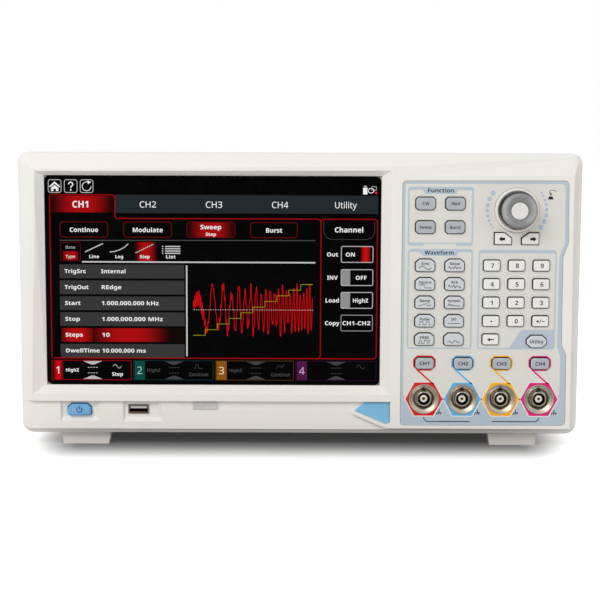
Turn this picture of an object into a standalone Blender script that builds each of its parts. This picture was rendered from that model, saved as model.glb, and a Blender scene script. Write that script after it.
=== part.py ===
"""Four-channel bench function generator, built from the separate pieces of the real instrument.

All sizes below are in millimetres and are turned into metres when a mesh is made. X runs to the right
as seen from the front, Z runs up from the foot soles, and "depth" runs backwards from the raised front
surface of the control panel, so depth 0 is that surface and a negative depth stands out in front of it.
"""

import math

import bmesh
import bpy

for item in list(bpy.data.objects):
    bpy.data.objects.remove(item)

# ---------------------------------------------------------------------------------------------------
# Driving sizes
# ---------------------------------------------------------------------------------------------------
METRE = 0.001
BODY_WIDTH = 370.0
BODY_HEIGHT = 186.5
FOOT_HEIGHT = 8.5
CASE_DEPTH = 118.0
BEZEL_DEPTH = 28.0
KNOB_REACH = 13.0
BUMPER_REACH = 6.0
WALL = 2.5
GAP = 0.3
CORNER_RADIUS = 7.0

STRIP_DEPTH = 2.4
GLASS_DEPTH = 4.7
GLASS_THICKNESS = 1.8
GLASS_RADIUS = 3.0
WINDOW_MARGIN = 4.0
FRAME_BACK = 9.0

OVERLAY_DEPTH = 0.4
OVERLAY_THICKNESS = 0.5
PANEL_FACE = 1.0
PANEL_BACK = 4.0

KEY_REACH = 1.8
KEY_TRAVEL = 0.8
KEY_CLEARANCE = 0.5
KEY_FLANGE = 1.3
FUNCTION_KEY = (12.6, 8.1)
NUMBER_KEY = (10.7, 7.0)
ARROW_KEY = (11.1, 7.6)
UTILITY_KEY = (13.1, 8.1)
CHANNEL_KEY = (12.3, 7.6)
POWER_KEY = (15.5, 7.6)

CHANNEL_PITCH = 25.4
BNC_BARREL = 9.7
BNC_CUP = 19.8
BNC_CUP_DEPTH = 9.4

KNOB_DIAMETER = 24.3
COLLAR_DIAMETER = KNOB_DIAMETER + 4.9
KNOB_TRAVEL = 0.5
SHAFT_DIAMETER = 5.94
SHAFT_CLEARANCE = 0.05

HANDLE_SPAN = 250.0
HANDLE_DEPTH = 37.0
HANDLE_THICKNESS = 9.0
HANDLE_RECESS = 12.5

FAN_SIZE = 60.0
LEG_LENGTH = CASE_DEPTH - 75.0

# ---------------------------------------------------------------------------------------------------
# Values that follow from the driving sizes
# ---------------------------------------------------------------------------------------------------
LEFT = -BODY_WIDTH / 2
RIGHT = BODY_WIDTH / 2
BOTTOM = FOOT_HEIGHT
TOP = FOOT_HEIGHT + BODY_HEIGHT
FRONT_Y = KNOB_REACH - (KNOB_REACH + CASE_DEPTH + BUMPER_REACH) / 2
GLASS = (LEFT + 17.8, RIGHT - 132.0, BOTTOM + 33.1, TOP - 15.4)
OVERLAY_BACK = OVERLAY_DEPTH + OVERLAY_THICKNESS
KEY_FRONT = OVERLAY_DEPTH - KEY_REACH
KEY_STOP = PANEL_BACK + GAP
KEY_BACK = KEY_STOP + 1.2
MAT_FRONT = KEY_BACK + KEY_TRAVEL + 0.2
MAT_BACK = MAT_FRONT + 1.6
BOARD_FRONT = MAT_BACK + GAP
BOARD_THICKNESS = 1.6
SEAT_DEPTH = GLASS_DEPTH + GLASS_THICKNESS + GAP
FUNCTION_X = (RIGHT - 103.2, RIGHT - 83.8)
FUNCTION_Z = (TOP - 32.6, TOP - 48.0)
WAVE_X = (RIGHT - 103.0, RIGHT - 83.7)
ROW_PITCH = 12.2
ROW_Z = [TOP - 73.0 - row * ROW_PITCH for row in range(5)]
NUMBER_X = [RIGHT - 59.4 + column * 16.25 for column in range(3)]
CHANNEL_X = [RIGHT - 102.6 + index * CHANNEL_PITCH for index in range(4)]
CHANNEL_KEY_Z = BOTTOM + 48.7
BNC_Z = BOTTOM + 24.6
KNOB_CENTRE = (RIGHT - 43.5, TOP - 36.8)
POWER_CENTRE = (LEFT + 39.05, BOTTOM + 16.45)
USB_CENTRE = (LEFT + 78.2, BOTTOM + 16.55)


# ---------------------------------------------------------------------------------------------------
# Outlines, as lists of (x, z) running anticlockwise seen from the front
# ---------------------------------------------------------------------------------------------------
def box_outline(centre, size):
    x, z = centre
    half_x = size[0] / 2
    half_z = size[1] / 2
    low, high = z - half_z, z + half_z
    return [(x - half_x, low), (x + half_x, low), (x + half_x, high), (x - half_x, high)]


def cut_corner_outline(centre, size, top, bottom):
    """A box with its upper corners cut by the pair top (along x, along z) and its lower ones by bottom."""
    x, z = centre
    half_x = size[0] / 2
    half_z = size[1] / 2
    return [
        (x - half_x + bottom[0], z - half_z),
        (x + half_x - bottom[0], z - half_z),
        (x + half_x, z - half_z + bottom[1]),
        (x + half_x, z + half_z - top[1]),
        (x + half_x - top[0], z + half_z),
        (x - half_x + top[0], z + half_z),
        (x - half_x, z + half_z - top[1]),
        (x - half_x, z - half_z + bottom[1]),
    ]


def rounded(outline, radii, steps=4):
    """The outline with each corner turned into an arc of its own radius; radius 0 leaves it sharp."""
    result = []
    count = len(outline)
    for index, (x, z) in enumerate(outline):
        radius = radii[index] if isinstance(radii, (list, tuple)) else radii
        if radius <= 0:
            result.append((x, z))
            continue
        before = outline[index - 1]
        after = outline[(index + 1) % count]
        ux, uz = before[0] - x, before[1] - z
        vx, vz = after[0] - x, after[1] - z
        ul = math.hypot(ux, uz)
        vl = math.hypot(vx, vz)
        ux, uz, vx, vz = ux / ul, uz / ul, vx / vl, vz / vl
        half = math.acos(max(-1.0, min(1.0, ux * vx + uz * vz))) / 2
        reach = radius / math.tan(half)
        mx, mz = ux + vx, uz + vz
        ml = math.hypot(mx, mz)
        cx = x + mx / ml * radius / math.sin(half)
        cz = z + mz / ml * radius / math.sin(half)
        start = math.atan2(z + uz * reach - cz, x + ux * reach - cx)
        end = math.atan2(z + vz * reach - cz, x + vx * reach - cx)
        sweep = (end - start + math.pi) % (2 * math.pi) - math.pi
        for step in range(steps + 1):
            angle = start + sweep * step / steps
            result.append((cx + radius * math.cos(angle), cz + radius * math.sin(angle)))
    return result


def grown(outline, distance):
    """The outline moved outwards by a distance, or inwards where the distance is negative."""
    result = []
    count = len(outline)
    for index, (x, z) in enumerate(outline):
        before = outline[index - 1]
        after = outline[(index + 1) % count]
        ax, az = x - before[0], z - before[1]
        bx, bz = after[0] - x, after[1] - z
        al = math.hypot(ax, az)
        bl = math.hypot(bx, bz)
        nx, nz = az / al, -ax / al
        mx, mz = bz / bl, -bx / bl
        spread = 1 + nx * mx + nz * mz
        result.append((x + distance * (nx + mx) / spread, z + distance * (nz + mz) / spread))
    return result


def circle(centre, radius, segments):
    x, z = centre
    turn = 2 * math.pi / segments
    return [(x + radius * math.cos(turn * k), z + radius * math.sin(turn * k)) for k in range(segments)]


def body_outline(inset, steps=4):
    corners = [
        (LEFT + inset, BOTTOM + inset),
        (RIGHT - inset, BOTTOM + inset),
        (RIGHT - inset, TOP - inset),
        (LEFT + inset, TOP - inset),
    ]
    return rounded(corners, max(CORNER_RADIUS - inset, 1.5), steps)


# ---------------------------------------------------------------------------------------------------
# Solids
# ---------------------------------------------------------------------------------------------------
def place(x, depth, z):
    return (x * METRE, (FRONT_Y + depth) * METRE, z * METRE)


def make(name, work):
    """Turns a closed bmesh into an object of the scene, with its faces looking outwards."""
    bmesh.ops.recalc_face_normals(work, faces=work.faces)
    if work.calc_volume(signed=True) < 0:
        bmesh.ops.reverse_faces(work, faces=work.faces)
    mesh = bpy.data.meshes.new(name)
    work.to_mesh(mesh)
    work.free()
    made = bpy.data.objects.new(name, mesh)
    bpy.context.scene.collection.objects.link(made)
    return made


def extruded(name, corners, push):
    """A flat face drawn through (x, depth, z) corners and extruded along a vector."""
    work = bmesh.new()
    face = work.faces.new([work.verts.new(place(*corner)) for corner in corners])
    geometry = bmesh.ops.extrude_face_region(work, geom=[face])["geom"]
    moved = [item for item in geometry if isinstance(item, bmesh.types.BMVert)]
    bmesh.ops.translate(work, verts=moved, vec=[step * METRE for step in push])
    return make(name, work)


def prism(name, outline, start, end):
    """An outline of (x, z) pairs, extruded from one depth to another."""
    return extruded(name, [(x, start, z) for x, z in outline], (0.0, end - start, 0.0))


def upright(name, outline, low, high):
    """An outline of (x, depth) pairs, extruded up along Z."""
    return extruded(name, [(x, depth, low) for x, depth in outline], (0.0, 0.0, high - low))


def crosswise(name, outline, low, high):
    """An outline of (depth, z) pairs, extruded along X."""
    return extruded(name, [(low, depth, z) for depth, z in outline], (high - low, 0.0, 0.0))


def block(name, x, depth, z):
    """A box from three (low, high) pairs."""
    return prism(name, [(x[0], z[0]), (x[1], z[0]), (x[1], z[1]), (x[0], z[1])], depth[0], depth[1])


def skin(work, near, far):
    """Joins two rings of equally many vertices with faces."""
    count = len(near)
    for k in range(count):
        nxt = (k + 1) % count
        work.faces.new([near[k], far[k], far[nxt], near[nxt]])


def loft(name, rings):
    """A solid through rings of equally many points; each ring is (outline, depth)."""
    work = bmesh.new()
    made = [[work.verts.new(place(x, depth, z)) for x, z in outline] for outline, depth in rings]
    for near, far in zip(made, made[1:]):
        skin(work, near, far)
    work.faces.new(made[0])
    work.faces.new(made[-1][::-1])
    return make(name, work)


def turned(name, profile, centre, segments):
    """A profile of (depth, radius), from axis to axis or a closed loop, spun about the depth axis."""
    work = bmesh.new()
    points = [work.verts.new(place(centre[0] + radius, depth, centre[1])) for depth, radius in profile]
    edges = [work.edges.new(pair) for pair in zip(points, points[1:])]
    if profile[0][1] > 0:
        edges.append(work.edges.new((points[-1], points[0])))
    bmesh.ops.spin(
        work,
        geom=points + edges,
        cent=place(centre[0], 0.0, centre[1]),
        axis=(0.0, -1.0, 0.0),
        angle=2 * math.pi,
        steps=segments,
        use_merge=True,
    )
    bmesh.ops.remove_doubles(work, verts=work.verts, dist=1e-6)
    return make(name, work)


def change(target, tool, operation):
    modifier = target.modifiers.new("change", "BOOLEAN")
    modifier.solver = "EXACT"
    modifier.operation = operation
    modifier.object = tool
    bpy.context.view_layer.update()
    graph = bpy.context.evaluated_depsgraph_get()
    mesh = bpy.data.meshes.new_from_object(target.evaluated_get(graph))
    target.modifiers.clear()
    target.data = mesh
    mesh.name = target.name
    bpy.data.objects.remove(tool)


def cut(target, *tools):
    for tool in tools:
        change(target, tool, "DIFFERENCE")


def add(target, *tools):
    for tool in tools:
        change(target, tool, "UNION")


def together(name, tools):
    """Several solids that don't meet, as one tool."""
    work = bmesh.new()
    for tool in tools:
        work.from_mesh(tool.data)
        bpy.data.objects.remove(tool)
    return make(name, work)


def finish(made, colour, roughness=0.5, metallic=0.0, smooth=None):
    """A material of the piece's own, and soft shading up to an angle in degrees on round pieces."""
    material = bpy.data.materials.new(made.name)
    material.use_nodes = True
    shader = material.node_tree.nodes["Principled BSDF"]
    shader.inputs["Base Color"].default_value = (*colour, 1.0)
    shader.inputs["Roughness"].default_value = roughness
    shader.inputs["Metallic"].default_value = metallic
    made.data.materials.clear()
    made.data.materials.append(material)
    if smooth is not None:
        for face in made.data.polygons:
            face.use_smooth = True
        made.data.set_sharp_from_angle(angle=math.radians(smooth))


def origin_to(made, x, depth, z):
    """Moves the piece's own origin onto a point, leaving its shape where it is."""
    target = place(x, depth, z)
    for vertex in made.data.vertices:
        vertex.co = [vertex.co[axis] - target[axis] for axis in range(3)]
    made.location = target


SHELL = (0.86, 0.84, 0.80)
KEY_BLUE_GREY = (0.43, 0.46, 0.49)
KEY_LIGHT = (0.62, 0.64, 0.65)
KEY_WHITE = (0.84, 0.82, 0.77)
NICKEL = (0.55, 0.52, 0.47)
BOARD_GREEN = (0.05, 0.20, 0.10)

# ---------------------------------------------------------------------------------------------------
# Keys: where each one sits and its outline
# ---------------------------------------------------------------------------------------------------
KEYS = {}


def soft_key(centre, size):
    return cut_corner_outline(centre, size, (1.5, 1.5), (1.5, 1.5))


def peaked_key(centre, size):
    return cut_corner_outline(centre, size, (2.7, 2.2), (1.1, 1.1))


for index, word in enumerate(("cw", "mod", "sweep", "burst")):
    spot = (FUNCTION_X[index % 2], FUNCTION_Z[index // 2])
    KEYS["key_" + word] = (soft_key(spot, FUNCTION_KEY), spot, KEY_BLUE_GREY)

WAVES = ("sine", "noise", "square", "arb", "ramp", "harmonic", "pulse", "dc", "prbs", "user")
for index, word in enumerate(WAVES):
    spot = (WAVE_X[index % 2], ROW_Z[index // 2])
    KEYS["key_" + word] = (peaked_key(spot, FUNCTION_KEY), spot, KEY_LIGHT)

NUMBERS = ("7", "8", "9", "4", "5", "6", "1", "2", "3", "point", "0", "sign", "back")
for index, word in enumerate(NUMBERS):
    spot = (NUMBER_X[index % 3], ROW_Z[index // 3])
    outline = cut_corner_outline(spot, NUMBER_KEY, (0.8, 0.8), (0.8, 0.8))
    KEYS["key_" + word] = (outline, spot, KEY_WHITE)

for word, side in (("left", -1), ("right", 1)):
    spot = (KNOB_CENTRE[0] + side * 8.9, KNOB_CENTRE[1] - KNOB_DIAMETER / 2 - 6.35)
    half_w = ARROW_KEY[0] / 2
    half_h = ARROW_KEY[1] / 2
    shape = [
        (-half_w, -half_h),
        (half_w, -half_h),
        (half_w, half_h * 0.1),
        (half_w * 0.15, half_h),
        (-half_w, half_h),
    ]
    if side > 0:
        shape = [(-x, z) for x, z in shape[::-1]]
    KEYS["key_arrow_" + word] = ([(spot[0] + x, spot[1] + z) for x, z in shape], spot, KEY_WHITE)

spot = (RIGHT - 29.1, ROW_Z[4] - 1.3)
KEYS["key_utility"] = (cut_corner_outline(spot, UTILITY_KEY, (3.0, 2.7), (3.0, 2.7)), spot, KEY_LIGHT)

for index, x in enumerate(CHANNEL_X):
    spot = (x, CHANNEL_KEY_Z)
    KEYS["key_ch%d" % (index + 1)] = (soft_key(spot, CHANNEL_KEY), spot, KEY_BLUE_GREY)

for name, (outline, spot, colour) in KEYS.items():
    rings = [
        (grown(outline, -0.55), KEY_FRONT),
        (grown(outline, -0.1), KEY_FRONT + 0.45),
        (outline, KEY_FRONT + 1.2),
        (outline, KEY_STOP),
        (grown(outline, KEY_FLANGE), KEY_STOP),
        (grown(outline, KEY_FLANGE), KEY_BACK),
    ]
    key = loft(name, rings)
    finish(key, colour, 0.45)
    origin_to(key, spot[0], KEY_BACK, spot[1])

# ---------------------------------------------------------------------------------------------------
# Front bezel: one moulding with the screen frame, the panel plateau, the lower strip and two front feet
# ---------------------------------------------------------------------------------------------------
plateau = [
    (LEFT + 7.3, BOTTOM + 5.0),
    (RIGHT - 5.7, BOTTOM + 4.7),
    (RIGHT - 6.4, TOP - 14.7),
    (RIGHT - 105.7, TOP - 15.1),
    (RIGHT - 120.7, TOP - 8.6),
    (LEFT + 11.2, TOP - 11.0),
]


def bridged(name, face, rings):
    """A loft whose front face has few corners, each gap up to the first ring filled with triangles."""
    work = bmesh.new()
    front = [work.verts.new(place(x, 0.0, z)) for x, z in face]
    made = [[work.verts.new(place(x, depth, z)) for x, z in outline] for outline, depth in rings]
    for near, far in zip(made, made[1:]):
        skin(work, near, far)
    work.faces.new(front)
    work.faces.new(made[-1][::-1])
    ring = rings[0][0]
    start = min(range(len(ring)), key=lambda k: math.dist(ring[k], face[0]))
    order = [(start + k) % len(ring) for k in range(len(ring) + 1)]
    corners = [k % len(face) for k in range(len(face) + 1)]
    a = 0
    b = 0
    while a < len(face) or b < len(ring):
        along_face = math.inf
        along_ring = math.inf
        if a < len(face):
            along_face = math.dist(face[corners[a + 1]], ring[order[b]])
        if b < len(ring):
            along_ring = math.dist(face[corners[a]], ring[order[b + 1]])
        if along_face <= along_ring:
            work.faces.new([front[corners[a]], made[0][order[b]], front[corners[a + 1]]])
            a += 1
        else:
            work.faces.new([front[corners[a]], made[0][order[b]], made[0][order[b + 1]]])
            b += 1
    return make(name, work)


bezel = bridged(
    "front_bezel",
    plateau,
    [
        (body_outline(2.6), 4.2),
        (body_outline(0.8), 5.5),
        (body_outline(0.0), 8.2),
        (body_outline(0.0), BEZEL_DEPTH),
    ],
)

# The lower strip lies behind the screen frame; its right end leaves the raised lip under the accent.
strip_right = [
    (RIGHT - 121.8, BOTTOM + 2.0),
    (RIGHT - 127.4, BOTTOM + 4.5),
    (RIGHT - 149.7, BOTTOM + 14.4),
    (RIGHT - 148.4, BOTTOM + 16.4),
    (RIGHT - 127.7, BOTTOM + 7.5),
    (RIGHT - 124.7, BOTTOM + 8.7),
    (RIGHT - 124.7, BOTTOM + 22.6),
]
strip = [(LEFT - 5, BOTTOM - 5), (RIGHT - 121.8, BOTTOM - 5), *strip_right, (LEFT - 5, BOTTOM + 22.6)]
cut(bezel, prism("strip", strip, -2.0, STRIP_DEPTH))

groove = [
    (LEFT + 102.9, BOTTOM + 22.2),
    (LEFT + 110.0, BOTTOM + 16.4),
    (RIGHT - 149.4, BOTTOM + 16.0),
    (RIGHT - 148.3, BOTTOM + 16.8),
    (RIGHT - 127.6, BOTTOM + 7.9),
    (RIGHT - 125.0, BOTTOM + 9.0),
    (RIGHT - 125.0, BOTTOM + 22.2),
]
cut(bezel, prism("groove", groove, 1.0, STRIP_DEPTH + 0.5))

# Screen opening: sloped walls down to the glass, a seat for the glass, then the window for the display.
frame_front = [
    (LEFT + 8.4, BOTTOM + 27.1),
    (RIGHT - 125.2, BOTTOM + 27.1),
    (RIGHT - 125.6, TOP - 11.4),
    (LEFT + 12.0, TOP - 12.4),
]
x0, x1, z0, z1 = GLASS
seat = [(x0 - GAP, z0 - GAP), (x1 + GAP, z0 - GAP), (x1 + GAP, z1 + GAP), (x0 - GAP, z1 + GAP)]
slope = []
for (fx, fz), (sx, sz) in zip(frame_front, seat):
    slope.append((fx + (fx - sx) / GLASS_DEPTH, fz + (fz - sz) / GLASS_DEPTH))
cut(bezel, loft("screen", [(slope, -1.0), (seat, GLASS_DEPTH), (seat, SEAT_DEPTH)]))
window = grown(seat, -WINDOW_MARGIN)

# Hollow from behind, deeper behind the control panel than behind the screen frame.
cut(bezel, prism("hollow", body_outline(WALL, 2), FRAME_BACK, BEZEL_DEPTH + 5))
panel_room = [
    (RIGHT - 118.5, BOTTOM + 6.5),
    (RIGHT - 8.0, BOTTOM + 6.5),
    (RIGHT - 8.0, TOP - 17.0),
    (RIGHT - 118.5, TOP - 17.0),
]
cut(bezel, prism("panel_room", panel_room, PANEL_BACK, FRAME_BACK + 1))
cut(bezel, prism("window", window, SEAT_DEPTH - 1, FRAME_BACK + 1))

overlay_outline = [
    (RIGHT - 118.0, BOTTOM + 7.1),
    (RIGHT - 9.0, BOTTOM + 7.3),
    (RIGHT - 9.4, BOTTOM + 53.9),
    (RIGHT - 12.5, BOTTOM + 61.3),
    (RIGHT - 12.9, TOP - 67.1),
    (RIGHT - 9.5, TOP - 57.9),
    (RIGHT - 10.1, TOP - 17.8),
    (RIGHT - 118.1, TOP - 18.1),
]
overlay_radii = [2.6, 2.6, 0, 0, 0, 0, 2.6, 2.6]
pocket = rounded(grown(overlay_outline, GAP), overlay_radii, 3)
cut(bezel, prism("pocket", pocket, -2.0, PANEL_FACE))

# Raised collar round the knob.
collar = COLLAR_DIAMETER / 2
knob_radius = KNOB_DIAMETER / 2
collar_profile = [
    (PANEL_FACE + 0.8, collar),
    (-1.4, collar - 0.2),
    (-2.5, collar - 0.9),
    (-2.5, knob_radius + 0.8),
    (-2.0, knob_radius + 0.4),
    (PANEL_FACE + 0.8, knob_radius + 0.4),
]
add(bezel, turned("collar", collar_profile, KNOB_CENTRE, 32))

# Everything that passes through the panel.
holes = []
for name, (outline, spot, colour) in KEYS.items():
    xs = [x for x, z in outline]
    zs = [z for x, z in outline]
    reach = KEY_CLEARANCE + 0.15
    room = [
        (min(xs) - reach, min(zs) - reach),
        (max(xs) + reach, min(zs) - reach),
        (max(xs) + reach, max(zs) + reach),
        (min(xs) - reach, max(zs) + reach),
    ]
    holes.append(prism("hole", room, PANEL_FACE - 0.5, PANEL_BACK + 0.5))
shaft_hole = circle(KNOB_CENTRE, SHAFT_DIAMETER / 2 + 0.8, 16)
holes.append(prism("hole", shaft_hole, PANEL_FACE - 0.5, PANEL_BACK + 0.5))
for x in CHANNEL_X:
    cup_hole = circle((x, BNC_Z), BNC_CUP / 2 + GAP, 24)
    holes.append(prism("hole", cup_hole, PANEL_FACE - 0.5, PANEL_BACK + 0.5))
cut(bezel, together("holes", holes))


def tray(name, left, right, low, high, lean):
    """A shallow pocket whose lower and right sides slope out to the strip's surface."""
    front = [(left, low), (right + lean, low), (right, high), (left, high)]
    inner = right - 3.2
    outer = left + 0.7
    floor = [(outer, low + 2.4), (inner + lean, low + 2.4), (inner, high - 0.3), (outer, high - 0.3)]
    share = 0.5
    above = [(fx + (fx - bx) * share, fz + (fz - bz) * share) for (fx, fz), (bx, bz) in zip(front, floor)]
    deep = STRIP_DEPTH + 1.9
    return loft(name, [(above, STRIP_DEPTH - 1.9 * share), (floor, deep)])


cut(bezel, tray("tray", LEFT + 26.6, LEFT + 53.0, BOTTOM + 9.0, BOTTOM + 22.0, 0.0))
cut(bezel, tray("tray", LEFT + 68.1, LEFT + 92.5, BOTTOM + 8.6, BOTTOM + 22.0, 3.0))
power_outline = cut_corner_outline(POWER_CENTRE, POWER_KEY, (2.6, 2.4), (0.9, 0.9))
cut(bezel, prism("button_hole", grown(power_outline, KEY_CLEARANCE), STRIP_DEPTH, FRAME_BACK + 1))
cut(bezel, prism("usb_hole", box_outline(USB_CENTRE, (13.9, 6.6)), STRIP_DEPTH, FRAME_BACK + 1))

for side in (-1, 1):
    centre_x = side * (BODY_WIDTH / 2 - 42.0)
    foot = [
        (centre_x - 15.2, 0.0),
        (centre_x + 15.2, 0.0),
        (centre_x + 16.8, BOTTOM + 1.0),
        (centre_x - 16.8, BOTTOM + 1.0),
    ]
    add(bezel, prism("foot", foot, 11.5, BEZEL_DEPTH - 1.0))
finish(bezel, SHELL, 0.5)

# ---------------------------------------------------------------------------------------------------
# Printed overlay, glass and display
# ---------------------------------------------------------------------------------------------------
overlay = prism("panel_overlay", rounded(overlay_outline, overlay_radii, 3), OVERLAY_DEPTH, OVERLAY_BACK)
holes = []
for name, (outline, spot, colour) in KEYS.items():
    holes.append(prism("hole", grown(outline, KEY_CLEARANCE), OVERLAY_DEPTH - 1, OVERLAY_BACK + 1))
holes.append(prism("hole", circle(KNOB_CENTRE, collar + GAP, 32), OVERLAY_DEPTH - 1, OVERLAY_BACK + 1))
for x in CHANNEL_X:
    cup_hole = circle((x, BNC_Z), BNC_CUP / 2 + GAP, 24)
    holes.append(prism("hole", cup_hole, OVERLAY_DEPTH - 1, OVERLAY_BACK + 1))
cut(overlay, together("holes", holes))
finish(overlay, (0.73, 0.71, 0.65), 0.45)

glass_outline = rounded([(x0, z0), (x1, z0), (x1, z1), (x0, z1)], GLASS_RADIUS, 4)
glass = prism("touch_glass", glass_outline, GLASS_DEPTH, GLASS_DEPTH + GLASS_THICKNESS)
finish(glass, (0.004, 0.004, 0.005), 0.12)

display_depth = (FRAME_BACK + GAP, FRAME_BACK + 7.0)
display = block("lcd_module", (x0 - 2.0, x1 + 2.0), display_depth, (z0 - 2.0, z1 + 2.0))
driver_depth = (display_depth[1] - 0.5, display_depth[1] + 3.0)
backlight = block("driver", (x0 + 30, x1 - 30), driver_depth, (z0 + 8, z0 + 40))
add(display, backlight)
finish(display, (0.45, 0.45, 0.46), 0.4, 0.6)

# ---------------------------------------------------------------------------------------------------
# Power button and the front USB socket
# ---------------------------------------------------------------------------------------------------
button_front = STRIP_DEPTH - 0.9
button = loft(
    "power_button",
    [
        (grown(power_outline, -0.5), button_front),
        (power_outline, button_front + 0.6),
        (power_outline, FRAME_BACK + GAP),
        (grown(power_outline, KEY_FLANGE), FRAME_BACK + GAP),
        (grown(power_outline, KEY_FLANGE), FRAME_BACK + 1.8),
    ],
)
finish(button, (0.13, 0.38, 0.68), 0.4)
origin_to(button, POWER_CENTRE[0], FRAME_BACK + 1.8, POWER_CENTRE[1])

ux, uz = USB_CENTRE
usb_front = STRIP_DEPTH + 1.2
usb = block("usb_port", (ux - 6.6, ux + 6.6), (usb_front, usb_front + 15.0), (uz - 2.95, uz + 2.95))
cut(usb, block("mouth", (ux - 6.25, ux + 6.25), (usb_front - 1, usb_front + 14.0), (uz - 2.6, uz + 2.6)))
add(usb, block("tongue", (ux - 5.6, ux + 5.6), (usb_front + 1.2, usb_front + 14.5), (uz - 0.1, uz + 1.75)))
finish(usb, (0.60, 0.58, 0.54), 0.3, 0.9)

# ---------------------------------------------------------------------------------------------------
# Output sockets: a recessed metal cup with the coaxial barrel in its middle
# ---------------------------------------------------------------------------------------------------
cup = BNC_CUP / 2
barrel = BNC_BARREL / 2
bnc_profile = [
    (27.0, 0.0),
    (27.0, 0.9),
    (23.0, 0.9),
    (23.0, 5.5),
    (BNC_CUP_DEPTH + 1.6, 5.5),
    (BNC_CUP_DEPTH + 1.6, cup),
    (0.2, cup),
    (0.0, cup - 0.3),
    (0.2, cup - 0.9),
    (BNC_CUP_DEPTH - 0.9, cup - 2.0),
    (BNC_CUP_DEPTH, cup - 2.8),
    (BNC_CUP_DEPTH, barrel),
    (0.5, barrel),
    (0.1, barrel - 0.3),
    (0.1, barrel - 0.75),
    (7.4, barrel - 0.8),
    (7.4, 2.45),
    (1.8, 2.45),
    (1.8, 0.95),
    (1.3, 0.0),
]
for index, x in enumerate(CHANNEL_X):
    socket = turned("bnc_ch%d" % (index + 1), bnc_profile, (x, BNC_Z), 20)
    for side in (-1, 1):
        lug = [BNC_Z + side * (barrel - 0.5), BNC_Z + side * (barrel + 0.85)]
        add(socket, block("lug", (x - 1.0, x + 1.0), (2.4, 4.4), sorted(lug)))
    finish(socket, NICKEL, 0.3, 1.0, 30)

# ---------------------------------------------------------------------------------------------------
# Knob on its encoder shaft
# ---------------------------------------------------------------------------------------------------
shaft_radius = SHAFT_DIAMETER / 2
board_encoder_front = PANEL_BACK + 1.2
shaft_back = board_encoder_front - KNOB_TRAVEL - GAP
shaft_front = -KNOB_REACH + 4.4
shaft = turned(
    "encoder_shaft",
    [(shaft_back, 0.0), (shaft_back, shaft_radius), (shaft_front, shaft_radius), (shaft_front, 0.0)],
    KNOB_CENTRE,
    24,
)
finish(shaft, (0.55, 0.55, 0.55), 0.3, 1.0, 30)
origin_to(shaft, KNOB_CENTRE[0], shaft_back, KNOB_CENTRE[1])

bore = shaft_radius + SHAFT_CLEARANCE
knob_back = PANEL_FACE - KNOB_TRAVEL - 0.7
knob = turned(
    "knob",
    [
        (shaft_front - 0.3, 0.0),
        (shaft_front - 0.3, bore),
        (knob_back, bore),
        (knob_back, knob_radius - 0.5),
        (knob_back - 0.6, knob_radius),
        (-KNOB_REACH + 1.6, knob_radius - 0.45),
        (-KNOB_REACH + 0.4, knob_radius - 1.1),
        (-KNOB_REACH, knob_radius - 1.9),
        (-KNOB_REACH + 1.3, knob_radius * 0.50),
        (-KNOB_REACH + 0.9, knob_radius * 0.47),
        (-KNOB_REACH + 0.9, 0.0),
    ],
    KNOB_CENTRE,
    32,
)
finish(knob, (0.36, 0.36, 0.36), 0.4, 0.0, 35)
origin_to(knob, KNOB_CENTRE[0], 0.0, KNOB_CENTRE[1])

# ---------------------------------------------------------------------------------------------------
# Rubber key mat and the key board behind it
# ---------------------------------------------------------------------------------------------------
mat_x = (RIGHT - 114.5, RIGHT - 13.5)
mat_z = (BOTTOM + 43.0, TOP - 19.5)
mat = block("keypad_mat", mat_x, (MAT_FRONT + 0.6, MAT_BACK), mat_z)
pads = []
for name, (outline, spot, colour) in KEYS.items():
    pads.append(prism("pad", box_outline(spot, (6.0, 4.0)), MAT_FRONT, MAT_FRONT + 1.0))
add(mat, together("pads", pads))
cut(mat, prism("encoder_room", box_outline(KNOB_CENTRE, (14.6, 14.6)), MAT_FRONT - 1, MAT_BACK + 1))
finish(mat, (0.30, 0.30, 0.31), 0.8)

board_back = BOARD_FRONT + BOARD_THICKNESS
key_board = block("key_board", mat_x, (BOARD_FRONT, board_back), mat_z)
encoder_outline = box_outline(KNOB_CENTRE, (12.0, 12.0))
add(key_board, prism("encoder", encoder_outline, board_encoder_front, BOARD_FRONT + 0.8))
header_z = (BOTTOM + 95.0, BOTTOM + 101.0)
add(key_board, block("header", (RIGHT - 90, RIGHT - 50), (board_back - 0.8, board_back + 6.0), header_z))
finish(key_board, BOARD_GREEN, 0.5)

# ---------------------------------------------------------------------------------------------------
# Rear case: a deep cover open to the front, with the handle recess, vents, leg ears and bumpers
# ---------------------------------------------------------------------------------------------------
INSET = 0.6
case_front = BEZEL_DEPTH + GAP
case = loft(
    "rear_case",
    [
        (body_outline(INSET, 3), case_front),
        (body_outline(INSET, 3), CASE_DEPTH - 9.0),
        (body_outline(INSET + 4.0, 3), CASE_DEPTH),
    ],
)
cut(
    case,
    loft(
        "room",
        [
            (body_outline(INSET + WALL, 2), case_front - 5.0),
            (body_outline(INSET + WALL, 2), CASE_DEPTH - 10.5),
            (body_outline(INSET + WALL + 4.0, 2), CASE_DEPTH - WALL),
        ],
    ),
)

case_top = TOP - INSET
recess_half = HANDLE_SPAN / 2 + 3.0
recess_depth = (BEZEL_DEPTH + 12.0, BEZEL_DEPTH + 56.0)
recess_floor = case_top - HANDLE_RECESS
add(
    case,
    block(
        "recess_wall",
        (-recess_half - 3.0, recess_half + 3.0),
        (recess_depth[0] - WALL, recess_depth[1] + WALL),
        (recess_floor - WALL, case_top - 1.0),
    ),
)
cut(case, block("recess", (-recess_half, recess_half), recess_depth, (recess_floor, TOP + 5)))

pivot = (recess_depth[1] - 8.0, recess_floor + 2.0 + HANDLE_THICKNESS / 2)
PIN = 2.4


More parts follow.
